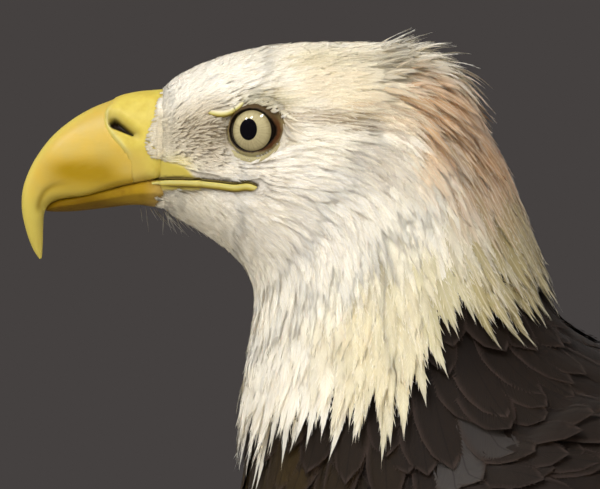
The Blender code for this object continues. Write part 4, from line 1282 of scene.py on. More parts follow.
def feathers(name, shafts, ups, bake, side, widths, cut, twist, rng, look, *nodes):
    """One joined mesh of feathers: a closed vane down each shaft and loose barbs at its sides.

    bake and side are each feather's place on the skin's map and in the side view, and look is
    its material and slot.
    """
    count, rows = shafts.shape[:2]
    tones = rng.random(count)
    turned = rng.normal(0, twist, count) if twist else np.zeros(count)
    ahead = unit(np.gradient(shafts, axis=1))
    sides = unit(np.cross(ahead, ups))
    # Its shading faces between the way of the skin under it and its own.
    facing = unit(0.6 * ups + 0.4 * np.cross(sides, ahead))
    ups = np.cross(sides, ahead)
    angle = turned[:, None, None] * np.linspace(0, 1, rows)[None, :, None]
    cos, sin = np.cos(angle), np.sin(angle)
    sides, ups = sides * cos + ups * sin, ups * cos - sides * sin
    lengths = np.linalg.norm(np.diff(shafts, axis=1), axis=2).sum(axis=1)
    half = widths[:, None] / 2 * MM
    share = np.linspace(0, 1, rows)
    spread = half * np.maximum(outline(cut, share), SLIMMEST)[None, :] * cut.closed
    fall = ups * (spread * cut.arch)[..., None]
    out = sides * spread[..., None]
    # Each list below has the vane's points first, in threes down the shaft, then the barbs'.
    points = [np.stack([shafts - out - fall, shafts, shafts + out - fall], 2).reshape(count, -1, 3)]
    laterals = [np.stack([-spread, spread * 0, spread], axis=2).reshape(count, rows * 3)]
    shares = [np.repeat(share, 3)]
    closed = np.full(rows, cut.closed)
    edges = [np.stack([closed, share**10, closed], 1).ravel()]
    acrosses = [np.tile((-1.0, 0.0, 1.0), rows)]
    tilt = np.tile((-cut.round, 0.0, cut.round), rows) * cut.closed
    shading = [np.repeat(facing, 3, axis=1) + np.repeat(sides, 3, axis=1) * tilt[None, :, None]]
    left = np.arange(rows - 1) * 3
    faces = [np.stack([left + i, left + j, left + k], 1)
             for i, j, k in ((0, 1, 4), (0, 4, 3), (1, 2, 5), (1, 5, 4))]
    # Barbs: slim triangles from the vane's edge to the feather's outline, jittered a little.
    starts = np.linspace(*BARB_SPAN, cut.barbs)
    gap = starts[1] - starts[0]
    ends = np.minimum(starts + cut.sweep, 1.0 + 0.3 * cut.sweep)
    inner = outline(cut, starts) * cut.closed * BARB_ROOT
    inner_next = outline(cut, np.minimum(starts + gap, 1)) * cut.closed * BARB_ROOT
    reach = np.maximum(outline(cut, np.minimum(ends, 1.0)), 0.0)
    for way in (-1, 1):
        wander = rng.normal(0, 1, (count, cut.barbs))
        stretch = 1 + cut.loose * wander
        flick = rng.normal(0, 0.6 * cut.loose, (count, cut.barbs)) * half
        for place_on, width, is_tip in (
                (starts, inner, 0), (starts + gap * BARB_BASE, inner_next, 0), (ends, reach, 1)):
            base = along_shaft(shafts, place_on)
            out = along_shaft(sides, place_on)
            top = along_shaft(ups, place_on)
            wide = half * width[None, :]
            if is_tip:
                wide = wide * stretch
                over = np.maximum(place_on - 1.0, 0)[None, :] + 0.12 * cut.loose * wander
                base = base + along_shaft(ahead, place_on) * (over * lengths[:, None])[..., None]
            sink = wide * cut.arch * width[None, :] - (flick if is_tip else 0)
            points.append(base + out * (way * wide)[..., None] - top * sink[..., None])
            tilt = way * cut.round * (1.0 if is_tip else BARB_ROOT * cut.closed)
            shading.append(along_shaft(facing, place_on) + out * tilt)
            laterals.append(way * wide)
            shares.append(np.clip(place_on, 0, 1))
            edges.append(np.full(cut.barbs, 1.0 if is_tip else cut.closed * BARB_ROOT))
            acrosses.append(np.full(cut.barbs, way * (1.0 if is_tip else 0.6)))
    # The barbs' corners run the other way round on the second side.
    for first, way in ((rows * 3, 1), ((rows + cut.barbs) * 3, -1)):
        three = [first + np.arange(cut.barbs) + point * cut.barbs for point in range(3)]
        faces.append(np.stack(three[::way], 1))
    points, laterals, shading = (np.concatenate(parts, axis=1)
                                 for parts in (points, laterals, shading))
    shares, edges, acrosses, faces = (np.concatenate(parts)
                                      for parts in (shares, edges, acrosses, faces))
    per = points.shape[1]
    corner = (faces[None] + (np.arange(count) * per)[:, None, None]).ravel()
    mesh = bpy.data.meshes.new(name)
    mesh.vertices.add(count * per)
    mesh.vertices.foreach_set("co", points.astype(np.float32).ravel())
    mesh.loops.add(len(corner))
    mesh.loops.foreach_set("vertex_index", corner.astype(np.int32))
    mesh.polygons.add(len(corner) // 3)
    mesh.polygons.foreach_set("loop_start", np.arange(0, len(corner), 3, dtype=np.int32))
    mesh.update(calc_edges=True)
    piece = bpy.data.objects.new(name, mesh)
    bpy.context.scene.collection.objects.link(piece)
    mesh.shade_smooth()
    mesh.normals_split_custom_set_from_vertices(unit(shading).reshape(-1, 3))
    store(piece, tone=np.repeat(tones, per), share=np.tile(shares, count),
          edge=np.tile(edges, count))
    store_roots(piece, side, per)
    patch = bake[:, None, :] + PATCH / 2 * np.stack([acrosses, 2 * shares - 1], axis=1)[None]
    drawn = np.stack([laterals, shares[None] * lengths[:, None]], axis=2) / MM
    for title, spots in ((BAKE_MAP, np.clip(patch, 0.001, 0.999)), (VANE_MAP, drawn)):
        layer = mesh.uv_layers.new(name=title)
        layer.data.foreach_set("uv", spots.reshape(-1, 2)[corner].astype(np.float32).ravel())
    dress(piece, *look, *nodes)


def coat(name, skin, roots, width, cut, rng, look, rise=(0.6, 1.15), curl=0.12, stray=0.10,
         extra_rise=0.0):
    """Feathers grown from their roots over the skin, each a little different."""
    count = len(roots.length)
    lengths = roots.length * (1 + rng.normal(0, 0.15, count).clip(-0.4, 0.4))
    lift = roots.depth * rng.uniform(*rise, count) + extra_rise
    turned = (rng.normal(0, 1, count) * stray)[:, None]
    lie = roots.lie * np.cos(turned) + np.cross(roots.normals, roots.lie) * np.sin(turned)
    shafts, ups = grow(skin, roots._replace(lie=lie), lengths, lift, rng.normal(0, curl, count),
                       cut.segments)
    widths = width * rng.uniform(0.85, 1.15, count)
    feathers(name, shafts, ups, roots.bake, roots.side, widths, cut, 0.12, rng, look)


def nearest_bake(skin, points):
    """The skin's map at the places of it nearest to some points."""
    faces = [skin.tree.find_nearest(Vector(p))[2] for p in points]
    return skin.corners_uv[faces].mean(axis=1)


def plant(name, skin, shafts, ups, point, widths, cut, twist, rng, look, *nodes):
    """Feathers on given shafts, each placed on the skin's map by one point of its shaft."""
    shafts = np.array(shafts)
    spots = shafts[:, point]
    feathers(name, shafts, np.array(ups), nearest_bake(skin, spots), side_view(spots),
             np.broadcast_to(widths, len(shafts)), cut, twist, rng, look, *nodes)


def in_eye_patch(side, slack=0.0):
    """True inside the bare skin round the eye."""
    forward, up, _ = side
    # How far it reaches, in millimetres: ahead, more so low down; behind, less so high up; and
    # then up and down.
    before = 9.6 + 2.2 * step(up, -3.0, -8.0)
    reach = np.where(forward < 0, 11.2 - 0.20 * np.maximum(up, 0), before) + slack
    tall = np.where(up > 0, 8.0, 10.6) + slack
    return np.hypot(forward / reach, up / tall) < 1


def make_white_feathers(looks):
    """Head and neck: short scale-like feathers on the face that lengthen to pointed hackles."""
    skin = work["skin"]
    rng = np.random.default_rng(SEEDS["white"])
    forward, up, sideways = side_view(skin.points)
    gap, _ = path_distance(forward, up, MOUTH)
    side = np.abs(sideways) > 9
    wave = 0.14 * np.sin(0.17 * forward + 0.05 * sideways)
    wave += 0.10 * np.sin(0.41 * forward - 0.09 * sideways)
    allowed = (skin.region == BODY) & (skin.where > 0.02)
    allowed &= skin.where < white_edge(skin.down) + 0.1 + wave
    allowed &= ~(in_eye_patch((forward, up, sideways), -0.1) & side)
    allowed &= ~((gap < 2.2) & side) & (bare_depth(forward, up, sideways) < 0.4)
    roots = scatter(skin, allowed, 0.60 + 0.036 * skin.length, rng)
    f, z, _ = roots.side
    # Feathers are shorter on the lores, round the eye, on the nape's ruffle and at the gape.
    lores = np.exp(-np.hypot((f - 15.5) / 11.0, (z + 2.0) / 9.0) ** 2)
    by_eye = step(np.hypot(f / 9.8, z / 8.6), 1.7, 1.05) * (f > -4)
    ruffled = np.exp(-((f + 50) / 14) ** 4) * step(roots.down, 0.32, 0.08)
    by_corner = step(np.hypot(f + 1.0, z + 16.5), 8.0, 3.0)
    shorter = (1 - 0.45 * lores) * (1 - 0.5 * by_eye) * (1 - 0.55 * ruffled) * (1 - 0.5 * by_corner)
    roots = roots._replace(length=roots.length * shorter)
    # Each group takes the roots between two lines of the comb and two shares of the way down it.
    for name, first, last, least, most, cut in (
            ("face_feathers", -1, 1.6, 0, 2, SHORT), ("head_feathers", 1.6, 3.0, 0, 2, SHORT),
            ("nape_hackles", 3.0, 4.1, 0, 2, HACKLE), ("neck_hackles", 4.1, 99, 0, 0.5, HACKLE),
            ("throat_hackles", 4.1, 99, 0.5, 2, HACKLE)):
        chosen = (roots.where >= first) & (roots.where < last)
        chosen &= (roots.down >= least) & (roots.down < most)
        part = choose_roots(roots, chosen)
        ruffle = ruffled[chosen]
        hem = step(part.where - white_edge(part.down), -0.9, 0.0)
        wisp = (ruffle > 0.4) & (rng.random(len(ruffle)) < 0.18)
        extra = ruffle * rng.gamma(2.0, 0.9, len(ruffle)).clip(0, 3.6)
        extra += hem * rng.uniform(0.6, 2.6, len(hem)) + wisp * rng.uniform(2.0, 4.5, len(ruffle))
        coat(name, skin, part, 0.7 + 0.15 * part.length, cut, rng, looks["white"],
             rise=(0.8, 1.12), extra_rise=extra, stray=0.07 + 0.3 * ruffle)


def shaft_along_side(surface, sign, forward, up, way, length):
    """The shaft and ups of a short feather that follows a surface seen from the side."""
    shaft, ups = [], []
    for share in np.arange(SHORT.segments + 1) / SHORT.segments:
        hit, normal = on_side(surface, forward - math.cos(way) * length * share,
                              up + math.sin(way) * length * share, sign)
        shaft.append(hit + normal * (0.18 + 0.55 * share) * MM)
        ups.append(normal)
    return shaft, ups


def make_edge_feathers(look):
    """The front hem of the face: tiny feathers that grow over the root of the bill."""
    rng = np.random.default_rng(SEEDS["hem"])
    surface = tree_named("skin", "cere_skin", "lower_bill")
    shafts, ups = [], []
    for path, rear, heading in ((FEATHER_EDGE, 26.2, 0.10), (JAW_EDGE, 23.5, -0.35)):
        for front, up in read(path, np.linspace(0, len(path) - 1, 44)):
            offset = rng.uniform(0.0, 0.7)
            while front - offset > rear:
                forward = front - offset + rng.normal(0, 0.22)
                height = up + rng.normal(0, 0.25)
                for _, sign in SIDES:
                    way = rng.normal(heading, 0.22)
                    length = rng.uniform(2.2, 3.6) * (0.65 + 0.35 * step(offset, 0, 2))
                    shaft, facing = shaft_along_side(surface, sign, forward, height, way, length)
                    shafts.append(shaft)
                    ups.append(facing)
                offset += rng.uniform(0.6, 0.9)
    shafts = np.array(shafts)
    feathers("hem_feathers", shafts, np.array(ups), nearest_bake(work["skin"], shafts[:, 0]),
             side_view(shafts[:, 2]), rng.uniform(1.0, 1.5, len(shafts)), SHORT, 0.1, rng, look)


def make_bristles(looks):
    """Fine dark bristles over the lores and pale ones under the chin."""
    skin = work["skin"]
    rng = np.random.default_rng(SEEDS["bristles"])
    forward, up, sideways = side_view(skin.points)
    # The lores are an oval ahead of the eye, clear of its bare patch and of the brow.
    allowed = np.hypot((forward - 15.0) / 11.0, (up + 2.5) / 8.5) < 1
    allowed &= (np.abs(sideways) > 8) & (skin.region == BODY)
    brow_gap, _ = path_distance(forward, up, BROW)
    allowed &= ~in_eye_patch((forward, up, sideways), 0.5) & (brow_gap > 3.5)
    roots = scatter(skin, allowed, np.full(len(forward), 1.2), rng)
    roots = roots._replace(length=rng.uniform(2.2, 4.6, len(roots.length)))
    coat("lore_bristles", skin, roots, 0.12, BRISTLE, rng, looks["bristle"], rise=(1.2, 2.6),
         stray=0.35, curl=0.5)
    shafts, ups = [], []
    reach = np.linspace(0, 1, BRISTLE.segments + 1)[:, None]
    # The pale ones hang from a strip that runs back along the chin, nine on each side of it.
    for _, sign in SIDES:
        for _ in range(9):
            along = rng.uniform(0, 1)
            root = np.array(place(37.0 - 17.0 * along, -23.6 - 3.2 * along,
                                  sign * rng.uniform(0.5, 4.5)))
            way = Vector((sign * rng.normal(0.25, 0.2), rng.normal(0.05, 0.35) + 0.7 * along, -1.0))
            way.normalize()
            bend = np.array((0.0, rng.normal(0.15, 0.15), 0.0))
            length = rng.uniform(4.5, 9.5)
            shafts.append(root + (np.array(way) * reach + bend * reach**2) * length * MM)
            ups.append(np.tile((sign * 1.0, 0.0, 0.0), (len(reach), 1)))
    plant("chin_bristles", skin, shafts, ups, 0, 0.17, BRISTLE, 0, rng, looks["pale_bristle"])


# Feathers on the eyelids: the first and last angle round the eye from its fore side, in degrees,
# how many, how far outside the opening, how far they lean back, their lengths, their width and
# their look.
LidRow = namedtuple("LidRow", "name first last count out lean length width look")
LID_ROWS = (
    LidRow("lid_feathers", -165, -10, 46, (1.5, 2.3), 0.0, (0.9, 1.4), 0.8, "down"),
    LidRow("upper_lid_feathers", 10, 140, 90, (1.5, 2.2, 2.9), 1.0, (2.0, 3.0), 1.1, "white"),
)


def make_lid_feathers(looks):
    """White tips along the lower eyelid, and down that runs back over the upper one."""
    rng = np.random.default_rng(SEEDS["lids"])
    reach = np.linspace(0, 1, SHORT.segments + 1)[:, None]
    for row in LID_ROWS:
        shafts, ups = [], []
        for side_name, sign in SIDES:
            centre, look, fore, upward = eye_frame(side_name, sign)
            lids = tree_named("eyelids_" + side_name)
            for angle in np.radians(np.linspace(row.first, row.last, row.count)):
                out = float(lid_opening(angle)) + rng.choice(row.out) + rng.normal(0, 0.12)
                way = fore * math.cos(angle) + upward * math.sin(angle)
                hit = lids.ray_cast(centre + way * out * MM + look * 0.03, -look)[0]
                if hit is None:
                    continue
                way = way * (1 - 0.5 * row.lean) - fore * row.lean - look * (0.35 - 0.25 * row.lean)
                way = np.array(way.normalized()) * rng.uniform(*row.length) * MM
                shafts.append(np.array(hit) + np.array(look) * ROOT_LIFT * MM + way * reach)
                ups.append(np.tile(np.array(look), (len(reach), 1)))
        plant(row.name, work["skin"], shafts, ups, 0, row.width, SHORT, 0, rng, looks[row.look])


def make_brown_feathers(looks):
    """Breast, back and thighs: broad round-ended feathers that overlap like tiles."""
    skin = work["skin"]
    rng = np.random.default_rng(SEEDS["brown"])
    trunk = skin.region == BODY
    on_body = trunk & (skin.where > white_edge(skin.down) - 0.15) & (skin.where < TAIL_COVERTS)
    on_rump = trunk & (skin.where >= TAIL_COVERTS - 0.1)
    # The body's feathers between the shoulders rise over the roots of the tertials.
    for name, allowed, gap, width, over, look in (
            ("body_feathers", on_body, 1.0, 0.44, 2.8, "brown"),
            ("thigh_feathers", skin.region == THIGH, 0.85, 0.34, 0.0, "brown"),
            ("tail_coverts", on_rump, 0.75, 0.42, 0.0, "tail")):
        roots = scatter(skin, allowed, 0.19 * skin.length * gap, rng)
        over = over * np.exp(-((roots.where - 8.0) / 1.0) ** 2) * step(roots.down, 0.5, 0.3)
        coat(name, skin, roots, width * roots.length, CONTOUR, rng, looks[look], extra_rise=over)


def wing_shaft(sign, places, turns, lift):
    """Points and ups over the outer face of the folded wing, raised by lift millimetres."""
    rows = read(WING, places)
    top = place_all(rows[:, 0], rows[:, 1], rows[:, 2])
    low = place_all(rows[:, 3], rows[:, 4], rows[:, 5])
    span = (top - low) / 2
    tall = np.linalg.norm(span, axis=1, keepdims=True)
    out = unit(tall**2 * (1, 0, 0) - span * span[:, :1])
    bulge = rows[:, 6:7] * MM
    cos, sin = np.cos(turns)[:, None], np.sin(turns)[:, None]
    points = (top + low) / 2 + span * cos + out * bulge * sin
    ups = unit(out * sin * tall + unit(span) * cos * np.maximum(bulge, 0.002))
    points = points + ups * (np.asarray(lift)[:, None] * MM)
    return points * (sign, 1, 1), ups * (sign, 1, 1)


# Rows of long wing feathers: how many, the first and last root's place on the wing and turn
# round it, the first and last tip's place and turn, width, lift at the root and the tip, and
# how much higher each feather lies than the one before it.
Row = namedtuple("Row", "count root_first root_last tip_first tip_last width lift_root lift_tip stack")
WING_ROWS = (
    Row(8, (7.6, 2.35), (7.2, 1.55), (14.9, 1.75), (12.6, 1.30), 27.0, -1.6, 0.0, 0.35),
    Row(11, (5.4, 2.70), (5.2, 0.85), (9.9, 2.62), (11.9, 0.80), 36.0, -1.4, 0.6, 0.22),
    Row(6, (4.5, 0.95), (4.2, 0.25), (10.4, 0.95), (9.2, 0.30), 38.0, -1.0, 1.8, 0.25),
    Row(13, (3.9, 2.75), (3.9, 0.75), (6.9, 2.70), (7.3, 0.72), 30.0, -1.6, 1.6, 0.20),
)


def make_wing_feathers(looks):
    """Folded wings: small coverts in rows, greater coverts, tertials, secondaries, primaries."""
    skin = work["skin"]
    rng = np.random.default_rng(SEEDS["wings"])
    share = np.linspace(0, 1, LONG.segments + 1)
    for side_name, sign in SIDES:
        on_wing = (skin.region == WING_SIDE) & (skin.where < 6.3) & (skin.points[:, 0] * sign > 0)
        roots = scatter(skin, on_wing, 0.20 * skin.length, rng)
        # They rise over the roots of the greater coverts and the tertials.
        over = 2.6 * np.exp(-((roots.where - 4.1) / 0.6) ** 2)
        coat("wing_coverts_" + side_name, skin, roots, 0.46 * roots.length, CONTOUR, rng,
             looks["brown"], stray=0.06, curl=0.08, extra_rise=over)
        shafts, ups, widths = [], [], []
        for row in WING_ROWS:
            for index in range(row.count):
                part = index / (row.count - 1)
                root = np.array(row.root_first) * (1 - part) + np.array(row.root_last) * part
                tip = np.array(row.tip_first) * (1 - part) + np.array(row.tip_last) * part
                tip = tip + rng.normal(0, 0.02, 2)
                where = root[0] + (tip[0] - root[0]) * share
                turn = root[1] + (tip[1] - root[1]) * share**1.1
                lift = row.lift_root + (row.lift_tip - row.lift_root) * step(share, 0, 0.3)
                points, up = wing_shaft(sign, where, turn, lift + row.stack * index)
                shafts.append(points)
                ups.append(up)
                widths.append(row.width * rng.uniform(0.94, 1.06))
        plant("flight_feathers_" + side_name, skin, shafts, ups, 2, widths, LONG, 0.03, rng,
              looks["flight"], "primaries_" + side_name)


def make_tail_feathers(look):
    """Twelve white tail feathers, stacked from the outer pair up to the middle pair."""
    rng = np.random.default_rng(SEEDS["tail"])
    share = np.linspace(0, 1, LONG.segments + 1)
    # The ends of the middle feathers, as (forward, up). Those further out are shorter and
    # narrower, spread more, lie lower and lean outwards.
    root, tip = np.array((-322.0, -418.0)), np.array((-433.0, -558.6))
    run = tip - root
    square = np.array((-run[1], run[0])) / math.hypot(*run)
    square *= np.sign(square[1])
    shafts, ups, widths = [], [], []
    for sign in (-1, 1):
        for index in range(6):
            out = (index + 0.5) / 5.5
            side = sign * (4.0 + index * (1.2 + 6.8 * share))
            reach = 1 - 0.06 * out**2
            fall = 9.0 * (out * share) ** 2 + 0.55 * index + 1.0 * (sign < 0)
            line = root + run * (share * reach)[:, None] - square * (fall - 1.5)[:, None]
            shafts.append(place_all(line[:, 0], line[:, 1], side))
            lean = math.radians(14) * out * share * sign
            cos = np.cos(lean)
            ups.append(np.stack([np.sin(lean), -square[0] * cos, square[1] * cos], axis=1))
            widths.append(40.0 - 2.0 * index)
    plant("tail_feathers", work["skin"], shafts, ups, 1, widths, LONG, 0.02, rng, look, "tail")


# Legs: front and rear outline points, and half the width, of each level of the bare tarsus.
TARSUS = (
    (-151.0, -494.0, -180.0, -505.0, 10.4), (-151.0, -498.8, -180.0, -509.8, 10.8),
    (-149.5, -517.0, -174.5, -524.0, 9.8), (-146.5, -541.0, -168.5, -546.0, 9.2),
    (-142.0, -562.0, -165.0, -567.0, 9.8), (-135.0, -577.0, -165.5, -582.0, 13.0),
    (-132.0, -590.0, -168.0, -591.0, 15.5), (-132.5, -599.0, -167.5, -599.0, 15.0),
    (-136.0, -605.0, -164.0, -605.0, 12.0),
)
FOOT_FORWARD = -150.0
FOOT_SPREAD = 57.0
# Toes: heading outward from straight ahead in degrees, length, thickness at the root and tip,
# how many pads, and the talon's length along its curve and its root radius.
Toe = namedtuple("Toe", "name heading length root tip pads talon talon_radius")
TOES = (
    Toe("middle", 3.0, 88.0, 10.5, 7.6, 3, 35.0, 5.2),
    Toe("inner", -34.0, 66.0, 10.8, 8.4, 2, 39.0, 5.8),
    Toe("outer", 42.0, 72.0, 9.8, 7.0, 3, 30.0, 4.6),
    Toe("hind", 184.0, 52.0, 10.8, 8.4, 2, 43.0, 6.2),
)
# A talon's turn from root to tip, its rise at the root, how high its tip ends and how far its
# root is set into the toe in millimetres, and how long the plates of the leg and toes are.
TALON_TURN = math.radians(92)
TALON_RISE = math.radians(26)
TALON_TIP_HEIGHT = 1.2
TALON_SET_IN = 5.0
SCUTE = 4.2


def make_tarsus(side_name, sign, mat):
    """The bare lower leg, with overlapping plates down its front."""
    turn = np.linspace(0, 2 * math.pi, 32, endpoint=False)
    rings = []
    for row in read(TARSUS, np.linspace(0, len(TARSUS) - 1, 90)):
        front, rear = row[0:2], row[2:4]
        middle, half = (front + rear) / 2, (front - rear) / 2
        level = middle[1] + half[1] * np.cos(turn)
        tread = (level / SCUTE) % 1.0
        plate = 1 + 0.045 * tread * step(np.cos(turn), 0.1, 0.7)
        line = middle + half * (np.cos(turn) * plate)[:, None]
        across = np.sin(turn) * row[4] * plate + sign * FOOT_SPREAD
        ring = place_all(line[:, 0], line[:, 1], across)
        ring[:, 2] = np.maximum(ring[:, 2], 0)
        rings.append(ring)
    piece = ringed("lower_leg_" + side_name, rings)
    dress(piece, mat, "scaled_skin", "tarsus_" + side_name)


def toe_axes(toe, sign):
    """Where a toe starts on the floor, the way it points and the way across it."""
    heading = math.radians(toe.heading)
    ahead = np.array((sign * math.sin(heading), -math.cos(heading), 0))
    start = np.array(place(FOOT_FORWARD, 0, sign * FOOT_SPREAD)) * (1, 1, 0)
    return start, ahead, np.cross(ahead, (0, 0, 1))


def make_toe(toe, side_name, sign, mat):
    """A padded toe, plated across its top and flattened where its pads meet the floor."""
    start, ahead, across = toe_axes(toe, sign)
    turn = np.linspace(0, 2 * math.pi, 28, endpoint=False)
    rings = []
    for share in np.linspace(0, 1, 72):
        radius = toe.root + (toe.tip - toe.root) * share
        # Each pad swells it, its end is rounded off, and it sits low, so that the pads lie flat.
        radius *= 0.90 + 0.10 * math.cos(2 * math.pi * toe.pads * (share - 0.5 / toe.pads))
        radius *= 1 - 0.28 * step(share, 0.94, 1.0) ** 2
        middle = start + ahead * toe.length * MM * (0.10 + 0.90 * share)
        middle[2] = radius * MM * 0.86
        tread = (share * toe.length / SCUTE) % 1.0
        reach = radius * MM * (1 - 0.05 * tread * step(np.sin(turn), 0.2, 0.7))
        ring = middle + across * (reach * np.cos(turn))[:, None]
        ring[:, 2] = np.maximum(ring[:, 2] + reach * np.sin(turn), 0)
        rings.append(ring)
    piece = ringed("toe_skin_" + toe.name + "_" + side_name, rings)
    dress(piece, mat, "scaled_skin", "toe_" + toe.name + "_" + side_name)


def make_talon(toe, side_name, sign, mat):
    """A tapering claw that rises from the toe's end and curves down to just off the floor."""
    start, ahead, across = toe_axes(toe, sign)
    bend = toe.talon / TALON_TURN
    drop = bend * (math.cos(TALON_TURN - TALON_RISE) - math.cos(TALON_RISE))
    root = start + ahead * (toe.length - TALON_SET_IN) * MM
    root[2] = (TALON_TIP_HEIGHT - drop) * MM
    turn = np.linspace(0, 2 * math.pi, 20, endpoint=False)
    rings = []
    for share in np.linspace(0, 1, 40):
        slope = TALON_RISE - TALON_TURN * share
        middle = root + ahead * bend * (math.sin(TALON_RISE) - math.sin(slope)) * MM
        middle[2] += bend * (math.cos(slope) - math.cos(TALON_RISE)) * MM
        upward = ahead * -math.sin(slope) + np.array((0, 0, math.cos(slope)))
        reach = (toe.talon_radius * (1 - share) ** 0.75 + 0.25) * MM
        keel = 1 + 0.12 * np.maximum(-np.sin(turn), 0) ** 2
        ring = middle + across * (reach * 0.82 * np.cos(turn))[:, None]
        rings.append(ring + upward * (reach * np.sin(turn) * keel)[:, None])
    piece = ringed("claw_" + toe.name + "_" + side_name, rings)
    dress(piece, mat, "black_claw", "talon_" + toe.name + "_" + side_name)


# Add-on ---------------------------------------------------------------------------------------


def swatch(name, description, text):
    """A colour for the sidebar, from an sRGB hex value."""
    return FloatVectorProperty(name=name, description=description, subtype="COLOR",
                               default=hex_colour(text)[:3])


class EagleBill(bpy.types.PropertyGroup):
    horn: swatch("Horn", "Main colour of the bill's horn", "#D0AE48")
    cere: swatch("Cere", "Colour of the bare skin at the bill's root", "#DAC65C")


class EagleEye(bpy.types.PropertyGroup):
    radius: FloatProperty(name="Radius", description="Radius of the eyeball", default=0.0106,
                          unit="LENGTH")
    fall: FloatProperty(name="Fall", default=2.5,
                        description="How far below level the eye looks, in degrees")
    forward_turn: FloatProperty(name="Forward turn", default=21.0,
                                description="How far ahead of sideways the eye looks, in degrees")
    iris: swatch("Iris", "Colour of the iris", "#C0B388")


class EagleCoat(bpy.types.PropertyGroup):
    skin_grain: FloatProperty(name="Skin grain", description="Size of the skin's facets",
                              default=0.0029, unit="LENGTH")
    brown: swatch("Brown", "Colour of the brown feathers", "#211913")
    white: swatch("White", "Colour of the white feathers", "#EFE9DA")


class EagleStage(bpy.types.PropertyGroup):
    lens: FloatProperty(name="Lens", description="Focal length in millimetres", default=450.0)
    distance: FloatProperty(name="Distance", description="From the camera to the bird",
                            default=2.4, unit="LENGTH")


# The stage: the place that fills the middle of the view, in millimetres forward of and above
# the eye, the camera's frame in millimetres, the floor's radius and how far it lies below the
# feet in metres, and the light of the room. Then the lights: place, size in metres, power in
# watts and whether they show as glints in the eye and on the bill.
VIEW_CENTRE = (-15.8, -36.3)
FRAME_WIDTH = 36.0
FLOOR_RADIUS = 3.0
FLOOR_DROP = 0.0002
ROOM_LIGHT = "#454140"
Lamp = namedtuple("Lamp", "name place size power shows")
LAMPS = (
    Lamp("key", (1.5, -1.2, 1.9), 1.4, 34.0, False),
    Lamp("fill", (2.6, 1.3, 1.5), 2.0, 39.0, False),
    Lamp("rim", (-1.4, 0.8, 1.9), 1.2, 20.0, False),
    Lamp("front", (-0.3, -2.2, 0.8), 1.6, 12.5, False),
    Lamp("glint_front", (0.53, -1.86, 2.25), 0.25, 7.0, True),
    Lamp("glint_middle", (1.04, -1.23, 2.52), 0.30, 9.0, True),
    Lamp("glint_rear", (1.31, 0.06, 2.62), 0.25, 7.0, True),
)


class EAGLE_OT_stage(bpy.types.Operator):
    """Adds the pale floor, the soft studio lights and the camera"""

    bl_idname = "eagle.stage"
    bl_label = "Stage"

    def execute(self, context):
        scene = context.scene
        deselect()
        bpy.ops.mesh.primitive_circle_add(vertices=96, radius=FLOOR_RADIUS, fill_type="NGON",
                                          location=(0, 0, 0))
        floor = context.object
        floor.name = "floor"
        bpy.ops.object.mode_set(mode="EDIT")
        bpy.ops.mesh.inset(thickness=0.02)
        bpy.ops.object.mode_set(mode="OBJECT")
        set_points(floor, points_of(floor) - (0, 0, FLOOR_DROP))
        floor.data.materials.append(floor_material())
        floor.visible_glossy = False
        target = place(*VIEW_CENTRE)
        camera = bpy.data.objects.new("camera", bpy.data.cameras.new("camera"))
        camera.data.lens = scene.eagle_stage.lens
        camera.data.sensor_width = FRAME_WIDTH
        camera.location = target + Vector((scene.eagle_stage.distance, 0, 0))
        camera.rotation_euler = (math.radians(90), 0, math.radians(90))
        scene.collection.objects.link(camera)
        scene.camera = camera
        for lamp in LAMPS:
            light = bpy.data.objects.new(lamp.name, bpy.data.lights.new(lamp.name, "AREA"))
            light.data.size = lamp.size
            light.data.energy = lamp.power
            light.location = lamp.place
            light.visible_glossy = lamp.shows
            light.rotation_euler = (target - Vector(lamp.place)).to_track_quat("-Z", "Y").to_euler()
            scene.collection.objects.link(light)
        scene.world = bpy.data.worlds.new("studio")
        scene.world.use_nodes = True
        sky = scene.world.node_tree.nodes["Background"]
        sky.inputs["Color"].default_value = hex_colour(ROOM_LIGHT)
        sky.inputs["Strength"].default_value = 1.0
        scene.view_settings.view_transform = "Standard"
        return {"FINISHED"}


class EAGLE_OT_skin(bpy.types.Operator):
    """Adds the one skin that the feathers grow from"""

    bl_idname = "eagle.skin"
    bl_label = "Skin"

    def execute(self, context):
        work["markings"] = plumage_markings("white_markings", WHITE_MARKS_AND_SHADE)
        piece, region = make_skin(work["markings"])
        work["skin"] = survey(piece, region)
        return {"FINISHED"}


class EAGLE_OT_bill(bpy.types.Operator):
    """Adds the hooked upper bill, the cere and the lower bill"""

    bl_idname = "eagle.bill"
    bl_label = "Bill"

    def execute(self, context):
        work["bare"] = bare_skin_material()
        make_horn()
        make_cere(work["bare"])
        make_lower_bill()
        return {"FINISHED"}


class EAGLE_OT_face(bpy.types.Operator):
    """Adds the lips of the gape and the ridges of the brows"""

    bl_idname = "eagle.face"
    bl_label = "Gape and brows"

    def execute(self, context):
        make_lips(work["bare"], tree_named("skin", "cere_skin", "lower_bill"))
        make_brows(work["bare"], work["skin"].tree)
        return {"FINISHED"}


class EAGLE_OT_eyes(bpy.types.Operator):
    """Adds the eyes and their lids"""

    bl_idname = "eagle.eyes"
    bl_label = "Eyes"

    def execute(self, context):
        wet = eye_material()
        lid = lid_material()
        for side_name, sign in SIDES:
            make_eye(side_name, sign, wet)
            make_lids(side_name, sign, lid, work["skin"].tree)
        return {"FINISHED"}


